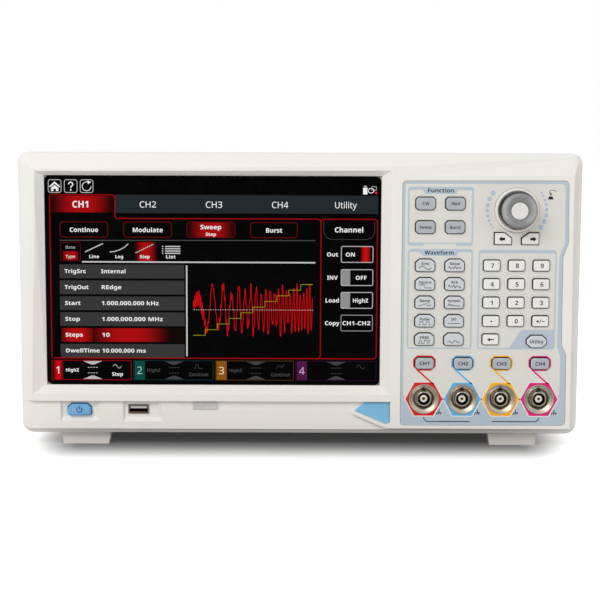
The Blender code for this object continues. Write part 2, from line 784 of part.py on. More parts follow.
def cross_pin(name, radius, low, high, centre, segments=12):
    return crosswise(name, circle(centre, radius, segments), low, high)


for side in (-1, 1):
    ends = sorted((side * (recess_half - 1.0), side * (recess_half + 4.0)))
    cut(case, cross_pin("pivot_hole", PIN + 0.2, ends[0], ends[1], pivot))

# Vents in both sides and over the fan, and the openings for the rear sockets.
FAN = (LEFT + 125.0, BOTTOM + 100.0)
INLET = (LEFT + 38.0, BOTTOM + 84.0)
board_top = BOTTOM + 15.6
LAN = (20.0, board_top + 6.9)
USB_B = (48.0, board_top + 5.6)
REAR_BNC = ((80.0, board_top + 8.0), (108.0, board_top + 8.0))

vents = []
for number in range(9):
    low = CASE_DEPTH - 66.0 + number * 6.0
    for side in (-1, 1):
        span = sorted((side * (RIGHT - 6.0), side * (RIGHT + 3.0)))
        vents.append(block("vent", span, (low, low + 3.0), (BOTTOM + 34.0, BOTTOM + 78.0)))
cut(case, together("vents", vents))
vents = []
for number in range(7):
    height = (number - 3) * 7.4
    reach = math.sqrt((FAN_SIZE / 2 - 2.5) ** 2 - height**2)
    z = (FAN[1] + height - 1.8, FAN[1] + height + 1.8)
    vents.append(block("vent", (FAN[0] - reach, FAN[0] + reach), (CASE_DEPTH - 6, CASE_DEPTH + 3), z))
through = (CASE_DEPTH - 6, CASE_DEPTH + 3)
vents.append(block("lan", (LAN[0] - 8.4, LAN[0] + 8.4), through, (LAN[1] - 7.9, LAN[1] + 7.4)))
vents.append(block("usb_b", (USB_B[0] - 6.5, USB_B[0] + 6.5), through, (USB_B[1] - 6.6, USB_B[1] + 5.9)))
for spot in REAR_BNC:
    vents.append(prism("bnc", circle(spot, 5.4, 16), CASE_DEPTH - 6, CASE_DEPTH + 3))
vents.append(prism("inlet", box_outline(INLET, (28.4, 48.4)), CASE_DEPTH - 6, CASE_DEPTH + 3))
cut(case, together("vents", vents))

# Rear bumpers, so that the case can be stood on its back.
for x in (LEFT + 14.0, RIGHT - 14.0):
    for z in (BOTTOM + 16.0, TOP - 16.0):
        pad = rounded(box_outline((x, z), (16.0, 20.0)), 3.0, 2)
        tip = (grown(pad, -1.5), CASE_DEPTH + BUMPER_REACH)
        add(case, loft("bumper", [(pad, CASE_DEPTH - 1.5), (pad, CASE_DEPTH + 4.5), tip]))

# Ears under the case that carry the tilt legs.
LEG_X = (LEFT + 42.0, RIGHT - 42.0)
leg_axis = (BEZEL_DEPTH + 9.0, BOTTOM - 3.3)
for x in LEG_X:
    for side in (-1, 1):
        ends = sorted((x + side * 13.4, x + side * 16.6))
        ear = [
            (leg_axis[0] - 4.5, BOTTOM + 1.6),
            (leg_axis[0] - 3.0, BOTTOM - 6.3),
            (leg_axis[0] + 3.0, BOTTOM - 6.3),
            (leg_axis[0] + 4.5, BOTTOM + 1.6),
        ]
        add(case, crosswise("ear", ear, ends[0], ends[1]))
        cut(case, cross_pin("ear_hole", 1.8, ends[0] - 1, ends[1] + 1, leg_axis, 10))
finish(case, SHELL, 0.5)

# ---------------------------------------------------------------------------------------------------
# Tilt legs, rear feet and the fold-flat handle
# ---------------------------------------------------------------------------------------------------
for name, x in (("tilt_leg_left", LEG_X[0]), ("tilt_leg_right", LEG_X[1])):
    depth, z = leg_axis
    side_view = [
        (depth - 2.0, z - 2.2),
        (depth - 0.8, z - 2.9),
        (depth + LEG_LENGTH - 3.0, z - 2.9),
        (depth + LEG_LENGTH - 2.0, z - 1.9),
        (depth + LEG_LENGTH - 2.0, z + 1.0),
        (depth + 6.0, z + 2.4),
        (depth - 0.8, z + 2.9),
        (depth - 2.0, z + 2.2),
        (depth - 2.9, z + 0.8),
        (depth - 2.9, z - 0.8),
    ]
    leg = crosswise(name, side_view, x - 13.0, x + 13.0)
    add(leg, cross_pin("pin", 1.55, x - 15.8, x + 15.8, leg_axis, 10))
    finish(leg, (0.78, 0.76, 0.71), 0.5)
    origin_to(leg, x, depth, z)

for name, x in (("rear_foot_left", LEG_X[0]), ("rear_foot_right", LEG_X[1])):
    sole = rounded(box_outline((x, CASE_DEPTH - 24.0), (30.0, 20.0)), 4.0, 3)
    work = bmesh.new()
    levels = [(grown(sole, -1.2), 0.0), (sole, 1.2), (sole, BOTTOM + INSET - 0.1)]
    made = [[work.verts.new(place(px, depth, z)) for px, depth in outline] for outline, z in levels]
    skin(work, made[0], made[1])
    skin(work, made[1], made[2])
    work.faces.new(made[0])
    work.faces.new(made[2][::-1])
    foot = make(name, work)
    finish(foot, (0.16, 0.16, 0.16), 0.8)

grip_front = pivot[0] - HANDLE_DEPTH + 4.5
half_span = HANDLE_SPAN / 2
handle_low = pivot[1] - HANDLE_THICKNESS / 2
handle_high = pivot[1] + HANDLE_THICKNESS / 2
handle_outline = rounded(
    [
        (-half_span, grip_front),
        (half_span, grip_front),
        (half_span, pivot[0]),
        (half_span - 11.0, pivot[0]),
        (half_span - 11.0, grip_front + 13.0),
        (-half_span + 11.0, grip_front + 13.0),
        (-half_span + 11.0, pivot[0]),
        (-half_span, pivot[0]),
    ],
    [8.0, 8.0, 0, 0, 3.0, 3.0, 0, 0],
    3,
)
handle = upright("carry_handle", handle_outline, handle_low, handle_high)
for side in (-1, 1):
    ends = sorted((side * (half_span - 11.0), side * half_span))
    boss = crosswise("boss", circle(pivot, HANDLE_THICKNESS / 2, 16), ends[0], ends[1])
    add(handle, boss)
    ends = sorted((side * (half_span - 3.0), side * (half_span + 5.4)))
    add(handle, cross_pin("pin", PIN, ends[0], ends[1], pivot))
finish(handle, (0.78, 0.76, 0.71), 0.5)
origin_to(handle, 0.0, pivot[0], pivot[1])

# ---------------------------------------------------------------------------------------------------
# Mains inlet with its rocker switch
# ---------------------------------------------------------------------------------------------------
ix, iz = INLET
flange_outline = cut_corner_outline(INLET, (34.0, 56.0), (3.0, 3.0), (3.0, 3.0))
inlet = prism("power_inlet", flange_outline, CASE_DEPTH + 0.1, CASE_DEPTH + 2.6)
socket_z = iz - 10.0
switch_z = iz + 14.5
inlet_depth = (CASE_DEPTH - 17.0, CASE_DEPTH + 1.0)
add(inlet, block("inlet_body", (ix - 13.8, ix + 13.8), inlet_depth, (iz - 20.0, iz + 23.5)))
mouth = cut_corner_outline((ix, socket_z), (24.2, 16.4), (4.0, 4.0), (0.6, 0.6))
cut(inlet, prism("mouth", mouth, CASE_DEPTH - 15.0, CASE_DEPTH + 4))
switch_room = box_outline((ix, switch_z), (21.4, 13.4))
cut(inlet, prism("switch_room", switch_room, CASE_DEPTH - 10.0, CASE_DEPTH + 4))
for px, pz in ((-7.0, -1.6), (0.0, 2.4), (7.0, -1.6)):
    blade = box_outline((ix + px, socket_z + pz), (2.0, 4.0))
    add(inlet, prism("blade", blade, CASE_DEPTH - 16.0, CASE_DEPTH - 1.5))
finish(inlet, (0.02, 0.02, 0.022), 0.5)

rocker_axis = (ix, CASE_DEPTH - 1.6)
tilt = math.radians(-8.0)
rocker_shape = [(-9.2, 4.9), (-7.2, -4.2), (7.2, -4.2), (9.2, 4.9), (0.0, 3.4)]
rocker_outline = [
    (
        rocker_axis[0] + x * math.cos(tilt) - y * math.sin(tilt),
        rocker_axis[1] + x * math.sin(tilt) + y * math.cos(tilt),
    )
    for x, y in rocker_shape
]
rocker = upright("mains_switch", rocker_outline, switch_z - 6.3, switch_z + 6.3)
finish(rocker, (0.02, 0.02, 0.022), 0.4)
origin_to(rocker, rocker_axis[0], rocker_axis[1], switch_z)

# ---------------------------------------------------------------------------------------------------
# Fan
# ---------------------------------------------------------------------------------------------------
fan_depth = (CASE_DEPTH - WALL - 15.4, CASE_DEPTH - WALL - 0.4)
fan_outline = rounded(box_outline(FAN, (FAN_SIZE, FAN_SIZE)), 3.0, 2)
fan_frame = prism("fan_frame", fan_outline, fan_depth[0], fan_depth[1])
cut(fan_frame, prism("duct", circle(FAN, FAN_SIZE / 2 - 1.6, 32), fan_depth[0] - 1, fan_depth[1] + 1))
spider = prism("spider", circle(FAN, 12.5, 16), fan_depth[0], fan_depth[0] + 2.2)
for angle in (45.0, 135.0, 225.0, 315.0):
    a = math.radians(angle)
    c, s = math.cos(a), math.sin(a)
    arm = [(8.0, -1.5), (FAN_SIZE / 2, -1.5), (FAN_SIZE / 2, 1.5), (8.0, 1.5)]
    arm = [(FAN[0] + x * c - z * s, FAN[1] + x * s + z * c) for x, z in arm]
    add(spider, prism("arm", arm, fan_depth[0] + 0.1, fan_depth[0] + 2.1))
add(fan_frame, spider)
finish(fan_frame, (0.02, 0.02, 0.02), 0.5)

rotor_depth = (fan_depth[0] + 2.8, fan_depth[1] - 1.0)
rotor = turned(
    "fan_rotor",
    [
        (rotor_depth[0], 0.0),
        (rotor_depth[0], 11.0),
        (rotor_depth[1] - 1.0, 11.0),
        (rotor_depth[1], 10.0),
        (rotor_depth[1], 0.0),
    ],
    FAN,
    20,
)
for number in range(7):
    a = 2 * math.pi * number / 7
    c, s = math.cos(a), math.sin(a)
    near = [(10.0, -4.6), (26.8, -6.4), (26.8, -4.4), (10.0, -2.6)]
    far = [(10.0, 2.6), (26.8, 4.4), (26.8, 6.4), (10.0, 4.6)]
    turn_near = [(FAN[0] + x * c - z * s, FAN[1] + x * s + z * c) for x, z in near]
    turn_far = [(FAN[0] + x * c - z * s, FAN[1] + x * s + z * c) for x, z in far]
    add(rotor, loft("blade", [(turn_near, rotor_depth[0] + 0.8), (turn_far, rotor_depth[1] - 1.4)]))
finish(rotor, (0.02, 0.02, 0.02), 0.5, 0.0, 30)
origin_to(rotor, FAN[0], rotor_depth[0], FAN[1])

# ---------------------------------------------------------------------------------------------------
# Main board with the rear sockets soldered on, and the power supply
# ---------------------------------------------------------------------------------------------------
board_x = (RIGHT - 240.0, RIGHT - 12.0)
main_board = block("main_board", board_x, (BEZEL_DEPTH + 8.0, CASE_DEPTH - 6.0), (board_top - 1.6, board_top))
lx, lz = LAN
lan = block("lan", (lx - 8.0, lx + 8.0), (CASE_DEPTH - 20.0, CASE_DEPTH + 1.0), (lz - 7.4, lz + 6.9))
cut(lan, block("lan_mouth", (lx - 5.9, lx + 5.9), (CASE_DEPTH - 14.0, CASE_DEPTH + 4), (lz - 4.4, lz + 3.6)))
add(main_board, lan)
bx, bz = USB_B
usb_b = block("usb_b", (bx - 6.0, bx + 6.0), (CASE_DEPTH - 16.0, CASE_DEPTH + 0.8), (bz - 6.1, bz + 5.4))
usb_mouth = cut_corner_outline((bx, bz), (8.5, 7.8), (1.6, 1.6), (0.4, 0.4))
cut(usb_b, prism("usb_mouth", usb_mouth, CASE_DEPTH - 10.0, CASE_DEPTH + 4))
tongue_depth = (CASE_DEPTH - 11.0, CASE_DEPTH - 1.0)
add(usb_b, block("usb_tongue", (bx - 2.8, bx + 2.8), tongue_depth, (bz - 1.6, bz + 1.6)))
add(main_board, usb_b)
for spot in REAR_BNC:
    sx, sz = spot
    stub = turned(
        "stub",
        [
            (CASE_DEPTH - 12.0, 0.0),
            (CASE_DEPTH - 12.0, 4.85),
            (CASE_DEPTH + BUMPER_REACH - 0.4, 4.85),
            (CASE_DEPTH + BUMPER_REACH - 0.4, 4.05),
            (CASE_DEPTH - 4.0, 4.05),
            (CASE_DEPTH - 4.0, 2.4),
            (CASE_DEPTH + 3.6, 2.4),
            (CASE_DEPTH + 3.6, 0.0),
        ],
        spot,
        16,
    )
    post_depth = (CASE_DEPTH - 19.0, CASE_DEPTH - 8.0)
    add(stub, block("post", (sx - 5.5, sx + 5.5), post_depth, (board_top - 0.8, sz + 5.5)))
    add(main_board, stub)
sink_depth = (BEZEL_DEPTH + 22.0, BEZEL_DEPTH + 46.0)
fin_depth = (BEZEL_DEPTH + 22.5, BEZEL_DEPTH + 45.5)
for x in (RIGHT - 180.0, RIGHT - 130.0, RIGHT - 80.0):
    add(main_board, block("sink", (x - 14, x + 14), sink_depth, (board_top - 0.8, board_top + 4)))
    fins = []
    for fin in range(5):
        fx = x - 13.5 + fin * 6.3
        fins.append(block("fin", (fx, fx + 1.8), fin_depth, (board_top + 3, board_top + 14)))
    add(main_board, together("fins", fins))
finish(main_board, BOARD_GREEN, 0.5)

supply_x = (LEFT + 12.0, LEFT + 104.0)
supply_z = BOTTOM + 8.0
supply_y = BEZEL_DEPTH + 14.0
supply_back = CASE_DEPTH - 24.0
plate_depth = (supply_back - 14.0, supply_back - 11.5)
supply = block("power_supply", supply_x, (supply_y, supply_back), (supply_z, supply_z + 1.6))
parts = [
    block("coil", (LEFT + 20, LEFT + 46), (supply_y + 6, supply_y + 28), (supply_z + 1, supply_z + 24)),
    block("choke", (LEFT + 84, LEFT + 100), (supply_y + 10, supply_y + 28), (supply_z + 1, supply_z + 17)),
    upright("can", circle((LEFT + 58, supply_y + 14), 8.0, 12), supply_z + 1, supply_z + 30),
    upright("can", circle((LEFT + 75, supply_back - 18), 6.0, 12), supply_z + 1, supply_z + 26),
    block("plate", (LEFT + 22, LEFT + 62), plate_depth, (supply_z + 1, supply_z + 27)),
]
for item in parts:
    add(supply, item)
finish(supply, (0.20, 0.16, 0.08), 0.5)
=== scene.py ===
# %% [markdown]
# # A bench function generator, finished in Blender
# The solid model already exists: sixty closed nodes in metres, with the joints that let the keys, the
# knob, the handle and the tilt legs move. This lesson loads it as a fixed frame and gives it a surface.
# We never move a node. We add materials, fine modifiers, thin printed pieces and a few finer parts.

# %% Load the frame
import bmesh
import bpy
import math
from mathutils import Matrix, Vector


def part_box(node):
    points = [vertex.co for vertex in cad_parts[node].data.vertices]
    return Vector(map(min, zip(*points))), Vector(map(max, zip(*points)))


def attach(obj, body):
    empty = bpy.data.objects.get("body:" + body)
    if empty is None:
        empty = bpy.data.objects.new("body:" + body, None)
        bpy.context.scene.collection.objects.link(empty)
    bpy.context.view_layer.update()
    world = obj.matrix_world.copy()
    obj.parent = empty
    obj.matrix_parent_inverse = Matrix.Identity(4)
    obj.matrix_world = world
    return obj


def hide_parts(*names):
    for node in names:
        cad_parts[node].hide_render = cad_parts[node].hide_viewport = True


for startup in ("Cube", "Light", "Camera"):
    if startup in bpy.data.objects:
        bpy.data.objects.remove(bpy.data.objects[startup])
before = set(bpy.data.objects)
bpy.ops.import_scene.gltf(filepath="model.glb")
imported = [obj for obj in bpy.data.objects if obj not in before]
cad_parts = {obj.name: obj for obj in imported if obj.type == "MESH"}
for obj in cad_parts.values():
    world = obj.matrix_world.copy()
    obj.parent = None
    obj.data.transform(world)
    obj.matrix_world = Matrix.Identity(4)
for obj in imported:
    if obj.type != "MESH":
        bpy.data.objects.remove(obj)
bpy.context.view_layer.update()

# %% [markdown]
# ## Where things are
# Every place comes from the boxes of the CAD nodes, so a print lands on the surface that it belongs
# to. Small sizes are easier to read in millimetres, so a box is turned into millimetres here, and the
# helpers that make pieces turn millimetres back into metres.

# %% Boxes in millimetres
MM = 0.001


def box_of(node):
    low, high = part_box(node)
    return low / MM, high / MM


def middle(node):
    low, high = box_of(node)
    return (low.x + high.x) / 2, (low.z + high.z) / 2


bezel_low, bezel_high = box_of("front_bezel")
film_low, film_high = box_of("panel_overlay")
glass_low, glass_high = box_of("touch_glass")
LEFT, RIGHT = bezel_low.x, bezel_high.x
FRONT = box_of("bnc_ch1")[0].y
print("front plane at y %.1f mm, body %.0f mm wide" % (FRONT, RIGHT - LEFT))

# %% [markdown]
# ## Camera first
# A long lens keeps the front panel's edges almost parallel. It stands about 0.9 m in front of the
# panel, level with the top of the case, and looks down by about six degrees, so the top of the case
# is only a sliver. The sensor is 36 mm wide, so 84 mm of focal length gives a narrow, calm view. The
# camera is a hair off level and off square, as one on a hand-set tripod is.


# %% Camera
def new_object(name, data):
    made = bpy.data.objects.new(name, data)
    bpy.context.scene.collection.objects.link(made)
    return made


ASIDE, DISTANCE, HEIGHT = -1.7, 913.3, 201.6
LOOK_DOWN, ROLL, TURN = 6.42, -0.216, -0.092
camera_data = bpy.data.cameras.new("camera")
camera = new_object("camera", camera_data)
bpy.context.scene.camera = camera
camera_data.lens = 84.0
camera_data.sensor_width = 36.0
camera.location = (ASIDE * MM, (FRONT - DISTANCE) * MM, HEIGHT * MM)
camera.rotation_euler = [math.radians(angle) for angle in (90 - LOOK_DOWN, ROLL, TURN)]
print("camera at", tuple(round(value, 3) for value in camera.location))

# %% [markdown]
# ## Colours
# A colour on a paint chart is written for the eye, and Blender's shaders calculate in linear light.
# This helper turns a six-digit web colour into the four linear numbers that a colour socket takes.


# %% Colour helper
def paint(web):
    channels = [int(web[k : k + 2], 16) / 255 for k in (1, 3, 5)]
    linear = [c / 12.92 if c <= 0.04045 else ((c + 0.055) / 1.055) ** 2.4 for c in channels]
    return (*linear, 1.0)


print("bezel plastic in linear light:", [round(c, 3) for c in paint("#efebe5")])


# %% [markdown]
# ## Small node helpers
# A material is a graph. `add_node` places one node and fills its inputs, and a value that is itself
# an output socket becomes a link. `new_group` opens a shader node group with named sockets, so that
# one effect can serve many materials, each with its own values.


# %% Node helpers
def add_node(tree, kind, settings=None, **inputs):
    """A node with its inputs filled. i0, i1 and so on name an input by number, other words by its label."""
    made = tree.nodes.new(kind)
    for key, value in (settings or {}).items():
        setattr(made, key, value)
    for key, value in inputs.items():
        numbered = key[0] == "i" and key[1:].isdigit()
        socket = made.inputs[int(key[1:]) if numbered else key.replace("_", " ")]
        if isinstance(value, bpy.types.NodeSocket):
            tree.links.new(value, socket)
        else:
            socket.default_value = value
    return made


def new_group(name, takes, gives):
    group = bpy.data.node_groups.new(name, "ShaderNodeTree")
    kinds = {"colour": "NodeSocketColor", "value": "NodeSocketFloat", "normal": "NodeSocketVector"}
    for socket, (kind, default) in takes.items():
        made = group.interface.new_socket(socket, in_out="INPUT", socket_type=kinds[kind])
        made.default_value = default
    for socket, kind in gives.items():
        group.interface.new_socket(socket, in_out="OUTPUT", socket_type=kinds[kind])
    return group, group.nodes.new("NodeGroupInput").outputs, group.nodes.new("NodeGroupOutput").inputs


def ramp(tree, value, low, high, out_low=0.0, out_high=1.0):
    """A smooth step from out_low to out_high while value goes from low to high."""
    made = tree.nodes.new("ShaderNodeMapRange")
    made.interpolation_type = "SMOOTHSTEP"
    for index, number in enumerate((low, high, out_low, out_high)):
        made.inputs[index + 1].default_value = number
    tree.links.new(value, made.inputs[0])
    return made.outputs[0]


def blend_colour(tree, share, first, second, how="MIX"):
    made = tree.nodes.new("ShaderNodeMix")
    made.data_type = "RGBA"
    made.blend_type = how
    for index, value in ((0, share), (6, first), (7, second)):
        if isinstance(value, bpy.types.NodeSocket):
            tree.links.new(value, made.inputs[index])
        else:
            made.inputs[index].default_value = value
    return made.outputs[2]


def calculate(tree, how, first, second):
    return add_node(tree, "ShaderNodeMath", {"operation": how}, i0=first, i1=second).outputs[0]


def dimmed(tree, colour, level):
    """The colour multiplied by one number."""
    tint = add_node(tree, "ShaderNodeCombineColor", Red=level, Green=level, Blue=level).outputs[0]
    return blend_colour(tree, 1.0, colour, tint, "MULTIPLY")


def own_place(tree):
    """Where a point lies in its object's own space, in metres."""
    return add_node(tree, "ShaderNodeTexCoord").outputs["Object"]


def own_axes(tree):
    return add_node(tree, "ShaderNodeSeparateXYZ", Vector=own_place(tree)).outputs


print("node helpers ready")

# %% [markdown]
# ## Effect: moulded grain
# The housing is injection-moulded. The steel tool is spark-eroded, and its fine random pits print a
# satin grain on the plastic. Over a wide face the shade also drifts a little with the flow of the
# melt. Two noise textures give both: a fine one for height and gloss, and a broad one for the shade.

# %% Group: moulded grain
grain, takes, gives = new_group(
    "Moulded grain",
    {
        "Colour": ("colour", (0.8, 0.8, 0.8, 1)),
        "Grain Size": ("value", 0.3),
        "Shade Drift": ("value", 0.03),
        "Roughness": ("value", 0.5),
    },
    {"Colour": "colour", "Roughness": "value", "Height": "value"},
)
place = own_place(grain)
pits_per_metre = calculate(grain, "DIVIDE", 1000.0, takes["Grain Size"])
pits = add_node(grain, "ShaderNodeTexNoise", Vector=place, Scale=pits_per_metre, Detail=2.0).outputs[0]
drift = add_node(grain, "ShaderNodeTexNoise", Vector=place, Scale=14.0, Detail=3.0).outputs[0]
centred = calculate(grain, "SUBTRACT", drift, 0.5)
shade = calculate(grain, "ADD", 1.0, calculate(grain, "MULTIPLY", centred, takes["Shade Drift"]))
speck = ramp(grain, pits, 0.35, 0.65, 0.985, 1.0)
both = calculate(grain, "MULTIPLY", shade, speck)
grain.links.new(dimmed(grain, takes["Colour"], both), gives["Colour"])
uneven = calculate(grain, "MULTIPLY", calculate(grain, "SUBTRACT", pits, 0.5), 0.18)
grain.links.new(calculate(grain, "ADD", takes["Roughness"], uneven), gives["Roughness"])
grain.links.new(pits, gives["Height"])
print("group:", grain.name, "with", len(grain.nodes), "nodes")

# %% [markdown]
# ## Effect: edge wear
# Corners that hands touch are polished and slightly paler. Cycles' Pointiness is high on a convex
# edge, so a smooth step of it makes a mask. A noise breaks the mask up, because real wear isn't even.

# %% Group: edge wear
wear, takes, gives = new_group(
    "Edge wear",
    {
        "Colour": ("colour", (0.8, 0.8, 0.8, 1)),
        "Worn Colour": ("colour", (1, 1, 1, 1)),
        "Amount": ("value", 0.3),
    },
    {"Colour": "colour", "Mask": "value"},
)
edge = ramp(wear, wear.nodes.new("ShaderNodeNewGeometry").outputs["Pointiness"], 0.51, 0.6)
place = own_place(wear)
patch = add_node(wear, "ShaderNodeTexNoise", Vector=place, Scale=220.0, Detail=3.0).outputs[0]
patchy = calculate(wear, "MULTIPLY", edge, ramp(wear, patch, 0.4, 0.7))
mask = calculate(wear, "MULTIPLY", patchy, takes["Amount"])
wear.links.new(blend_colour(wear, mask, takes["Colour"], takes["Worn Colour"]), gives["Colour"])
wear.links.new(mask, gives["Mask"])
print("group:", wear.name)

# %% [markdown]
# ## Effect: turned rings
# Plated sockets and metal shafts come off a lathe. The tool leaves fine rings round the axis, which
# stretch the reflections into circles. A wave texture in its ring mode round the Y axis makes them,
# so each turned piece keeps its own origin on its axis.

# %% Group: turned rings
rings, takes, gives = new_group(
    "Turned rings",
    {
        "Colour": ("colour", (0.6, 0.6, 0.6, 1)),
        "Shadow Colour": ("colour", (0.4, 0.4, 0.4, 1)),
        "Pitch": ("value", 0.5),
        "Roughness": ("value", 0.3),
    },
    {"Colour": "colour", "Roughness": "value", "Height": "value"},
)
place = own_place(rings)
SCALE_FOR_ONE_MM = 320.0
per_metre = calculate(rings, "DIVIDE", SCALE_FOR_ONE_MM, takes["Pitch"])
marks = add_node(
    rings,
    "ShaderNodeTexWave",
    {"wave_type": "RINGS", "rings_direction": "Y"},
    Vector=place,
    Scale=per_metre,
    Distortion=0.6,
    Detail=1.0,
).outputs[1]
stain = add_node(rings, "ShaderNodeTexNoise", Vector=place, Scale=350.0, Detail=4.0).outputs[0]
share = calculate(rings, "MULTIPLY", calculate(rings, "ADD", marks, stain), 0.35)
rings.links.new(blend_colour(rings, share, takes["Colour"], takes["Shadow Colour"]), gives["Colour"])
uneven = calculate(rings, "MULTIPLY", calculate(rings, "SUBTRACT", stain, 0.5), 0.25)
rings.links.new(calculate(rings, "ADD", takes["Roughness"], uneven), gives["Roughness"])
rings.links.new(marks, gives["Height"])
print("group:", rings.name)

# %% [markdown]
# ## Effect: screen-printed ink
# The panel's colours are pushed through a mesh onto the back or face of a film. The layer is flat and
# nearly even, with faint mottling where the ink lies thinner. One noise gives the mottling.

# %% Group: printed ink
ink, takes, gives = new_group(
    "Printed ink",
    {"Colour": ("colour", (0.5, 0.5, 0.5, 1)), "Mottling": ("value", 0.06)},
    {"Colour": "colour", "Roughness": "value"},
)
place = own_place(ink)
cloud = add_node(ink, "ShaderNodeTexNoise", Vector=place, Scale=900.0, Detail=2.0).outputs[0]
thin = calculate(ink, "MULTIPLY", calculate(ink, "SUBTRACT", cloud, 0.5), takes["Mottling"])
level = calculate(ink, "ADD", 1.0, thin)
ink.links.new(dimmed(ink, takes["Colour"], level), gives["Colour"])
ink.links.new(ramp(ink, cloud, 0.2, 0.8, 0.42, 0.55), gives["Roughness"])
print("group:", ink.name)

# %% [markdown]
# ## Effect: lit display
# The screen is an LCD behind black glass. Up close, each lit area is a grid of dots, and many fields
# are shaded from a bright middle to a dark rim. The group takes the middle's colour, the rim's colour
# and the half width of the field, and multiplies a faint dot grid over the result.

# %% Group: lit display
lit, takes, gives = new_group(
    "Lit display",
    {
        "Colour": ("colour", (1, 1, 1, 1)),
        "Rim Colour": ("colour", (0, 0, 0, 1)),
        "Half Width": ("value", 10.0),
        "Centre": ("value", 0.0),
    },
    {"Colour": "colour"},
)
along = own_axes(lit)
offset = calculate(lit, "SUBTRACT", calculate(lit, "MULTIPLY", along[0], 1000.0), takes["Centre"])
reach = calculate(lit, "DIVIDE", calculate(lit, "ABSOLUTE", offset, 0.0), takes["Half Width"])
field = blend_colour(lit, ramp(lit, reach, 0.15, 1.0), takes["Colour"], takes["Rim Colour"])
DOT_TURN = 29000.0  # radians for each metre, so a dot and its gap take 0.22 mm together
dots = calculate(lit, "SINE", calculate(lit, "MULTIPLY", along[0], DOT_TURN), 0.0)
rows = calculate(lit, "SINE", calculate(lit, "MULTIPLY", along[1], DOT_TURN), 0.0)
level = ramp(lit, calculate(lit, "MULTIPLY", dots, rows), -1.0, 1.0, 0.94, 1.0)
lit.links.new(dimmed(lit, field, level), gives["Colour"])
print("group:", lit.name)


# %% [markdown]
# ## Materials from the groups
# Each maker function opens a material, places one group with that finish's own values and joins it to
# the Principled shader, which always stays in the material itself. A Bevel node rounds the normal by
# a fraction of a millimetre at each edge, so that a moulded corner catches a thin line of light.


# %% Moulded plastic
def new_material(name):
    material = bpy.data.materials.new(name)
    material.use_nodes = True
    tree = material.node_tree
    shader = tree.nodes["Principled BSDF"]
    return material, tree, shader


def use_group(tree, group, **inputs):
    made = tree.nodes.new("ShaderNodeGroup")
    made.node_tree = group
    for key, value in inputs.items():
        made.inputs[key.replace("_", " ")].default_value = value
    return made


def reopen(material):
    """The tree, the shader and the colour that feeds it, to add one more effect to a material."""
    tree = material.node_tree
    shader = tree.nodes["Principled BSDF"]
    return tree, shader, shader.inputs["Base Color"].links[0].from_socket


def moulded(name, web, roughness=0.5, size=0.35, drift=0.03, wear_amount=0.25, depth=0.02, edge=0.35):
    material, tree, shader = new_material(name)
    surface = use_group(
        tree, grain, Colour=paint(web), Grain_Size=size, Shade_Drift=drift, Roughness=roughness
    )
    corners = use_group(tree, wear, Worn_Colour=(0.93, 0.92, 0.9, 1), Amount=wear_amount)
    tree.links.new(surface.outputs["Colour"], corners.inputs["Colour"])
    tree.links.new(corners.outputs["Colour"], shader.inputs["Base Color"])
    tree.links.new(surface.outputs["Roughness"], shader.inputs["Roughness"])
    softened = add_node(tree, "ShaderNodeBevel", {"samples": 4}, Radius=edge * MM)
    bump = add_node(tree, "ShaderNodeBump", Strength=0.25, Distance=depth * MM, Normal=softened.outputs[0])
    tree.links.new(surface.outputs["Height"], bump.inputs["Height"])
    tree.links.new(bump.outputs[0], shader.inputs["Normal"])
    shader.inputs["Specular IOR Level"].default_value = 0.35
    return material


shell_plastic = moulded("shell_plastic", "#efebe5", 0.52, 0.4, 0.035)
trim_plastic = moulded("trim_plastic", "#dcd8cf", 0.5, 0.4, 0.03)
black_plastic = moulded("black_plastic", "#202124", 0.45, 0.3, 0.05, 0.0)
foot_rubber = moulded("foot_rubber", "#2a2a2b", 0.85, 0.5, 0.05, 0.0)
mat_rubber = moulded("keypad_rubber", "#c9c9c4", 0.8, 0.6, 0.05, 0.0)
knob_plastic = moulded("knob_plastic", "#868786", 0.34, 0.25, 0.04, 0.2, edge=0.2)
tree, shader, colour = reopen(knob_plastic)
axes = own_axes(tree)
# painted highlight: the knob's colour is lightened on its left and right flanks, a painted reflection on the
# dished front
squares = [calculate(tree, "MULTIPLY", axis, axis) for axis in (axes[0], axes[2])]
radius = calculate(tree, "SQRT", calculate(tree, "ADD", *squares), 0.0)
flank = calculate(tree, "DIVIDE", calculate(tree, "ABSOLUTE", axes[0], 0.0), radius)
painted_sheen = calculate(tree, "MULTIPLY", ramp(tree, flank, 0.35, 1.0), ramp(tree, radius, 6.8 * MM, 9.8 * MM))
light = blend_colour(tree, painted_sheen, colour, paint("#a8a9a7"))
# painted shadow: the knob's outer rim is coloured near black for the shadowed gap between knob and collar
rim = ramp(tree, radius, 11.1 * MM, 11.3 * MM)
tree.links.new(blend_colour(tree, rim, light, paint("#1b1b1c")), shader.inputs["Base Color"])
knob_cap_plastic = moulded("knob_cap_plastic", "#e4e1e0", 0.4, 0.25, 0.02, 0.0, edge=0.2)
MOULDED = (
    shell_plastic, trim_plastic, black_plastic, foot_rubber, mat_rubber, knob_plastic, knob_cap_plastic,
)
print("moulded finishes:", [material.name for material in MOULDED])
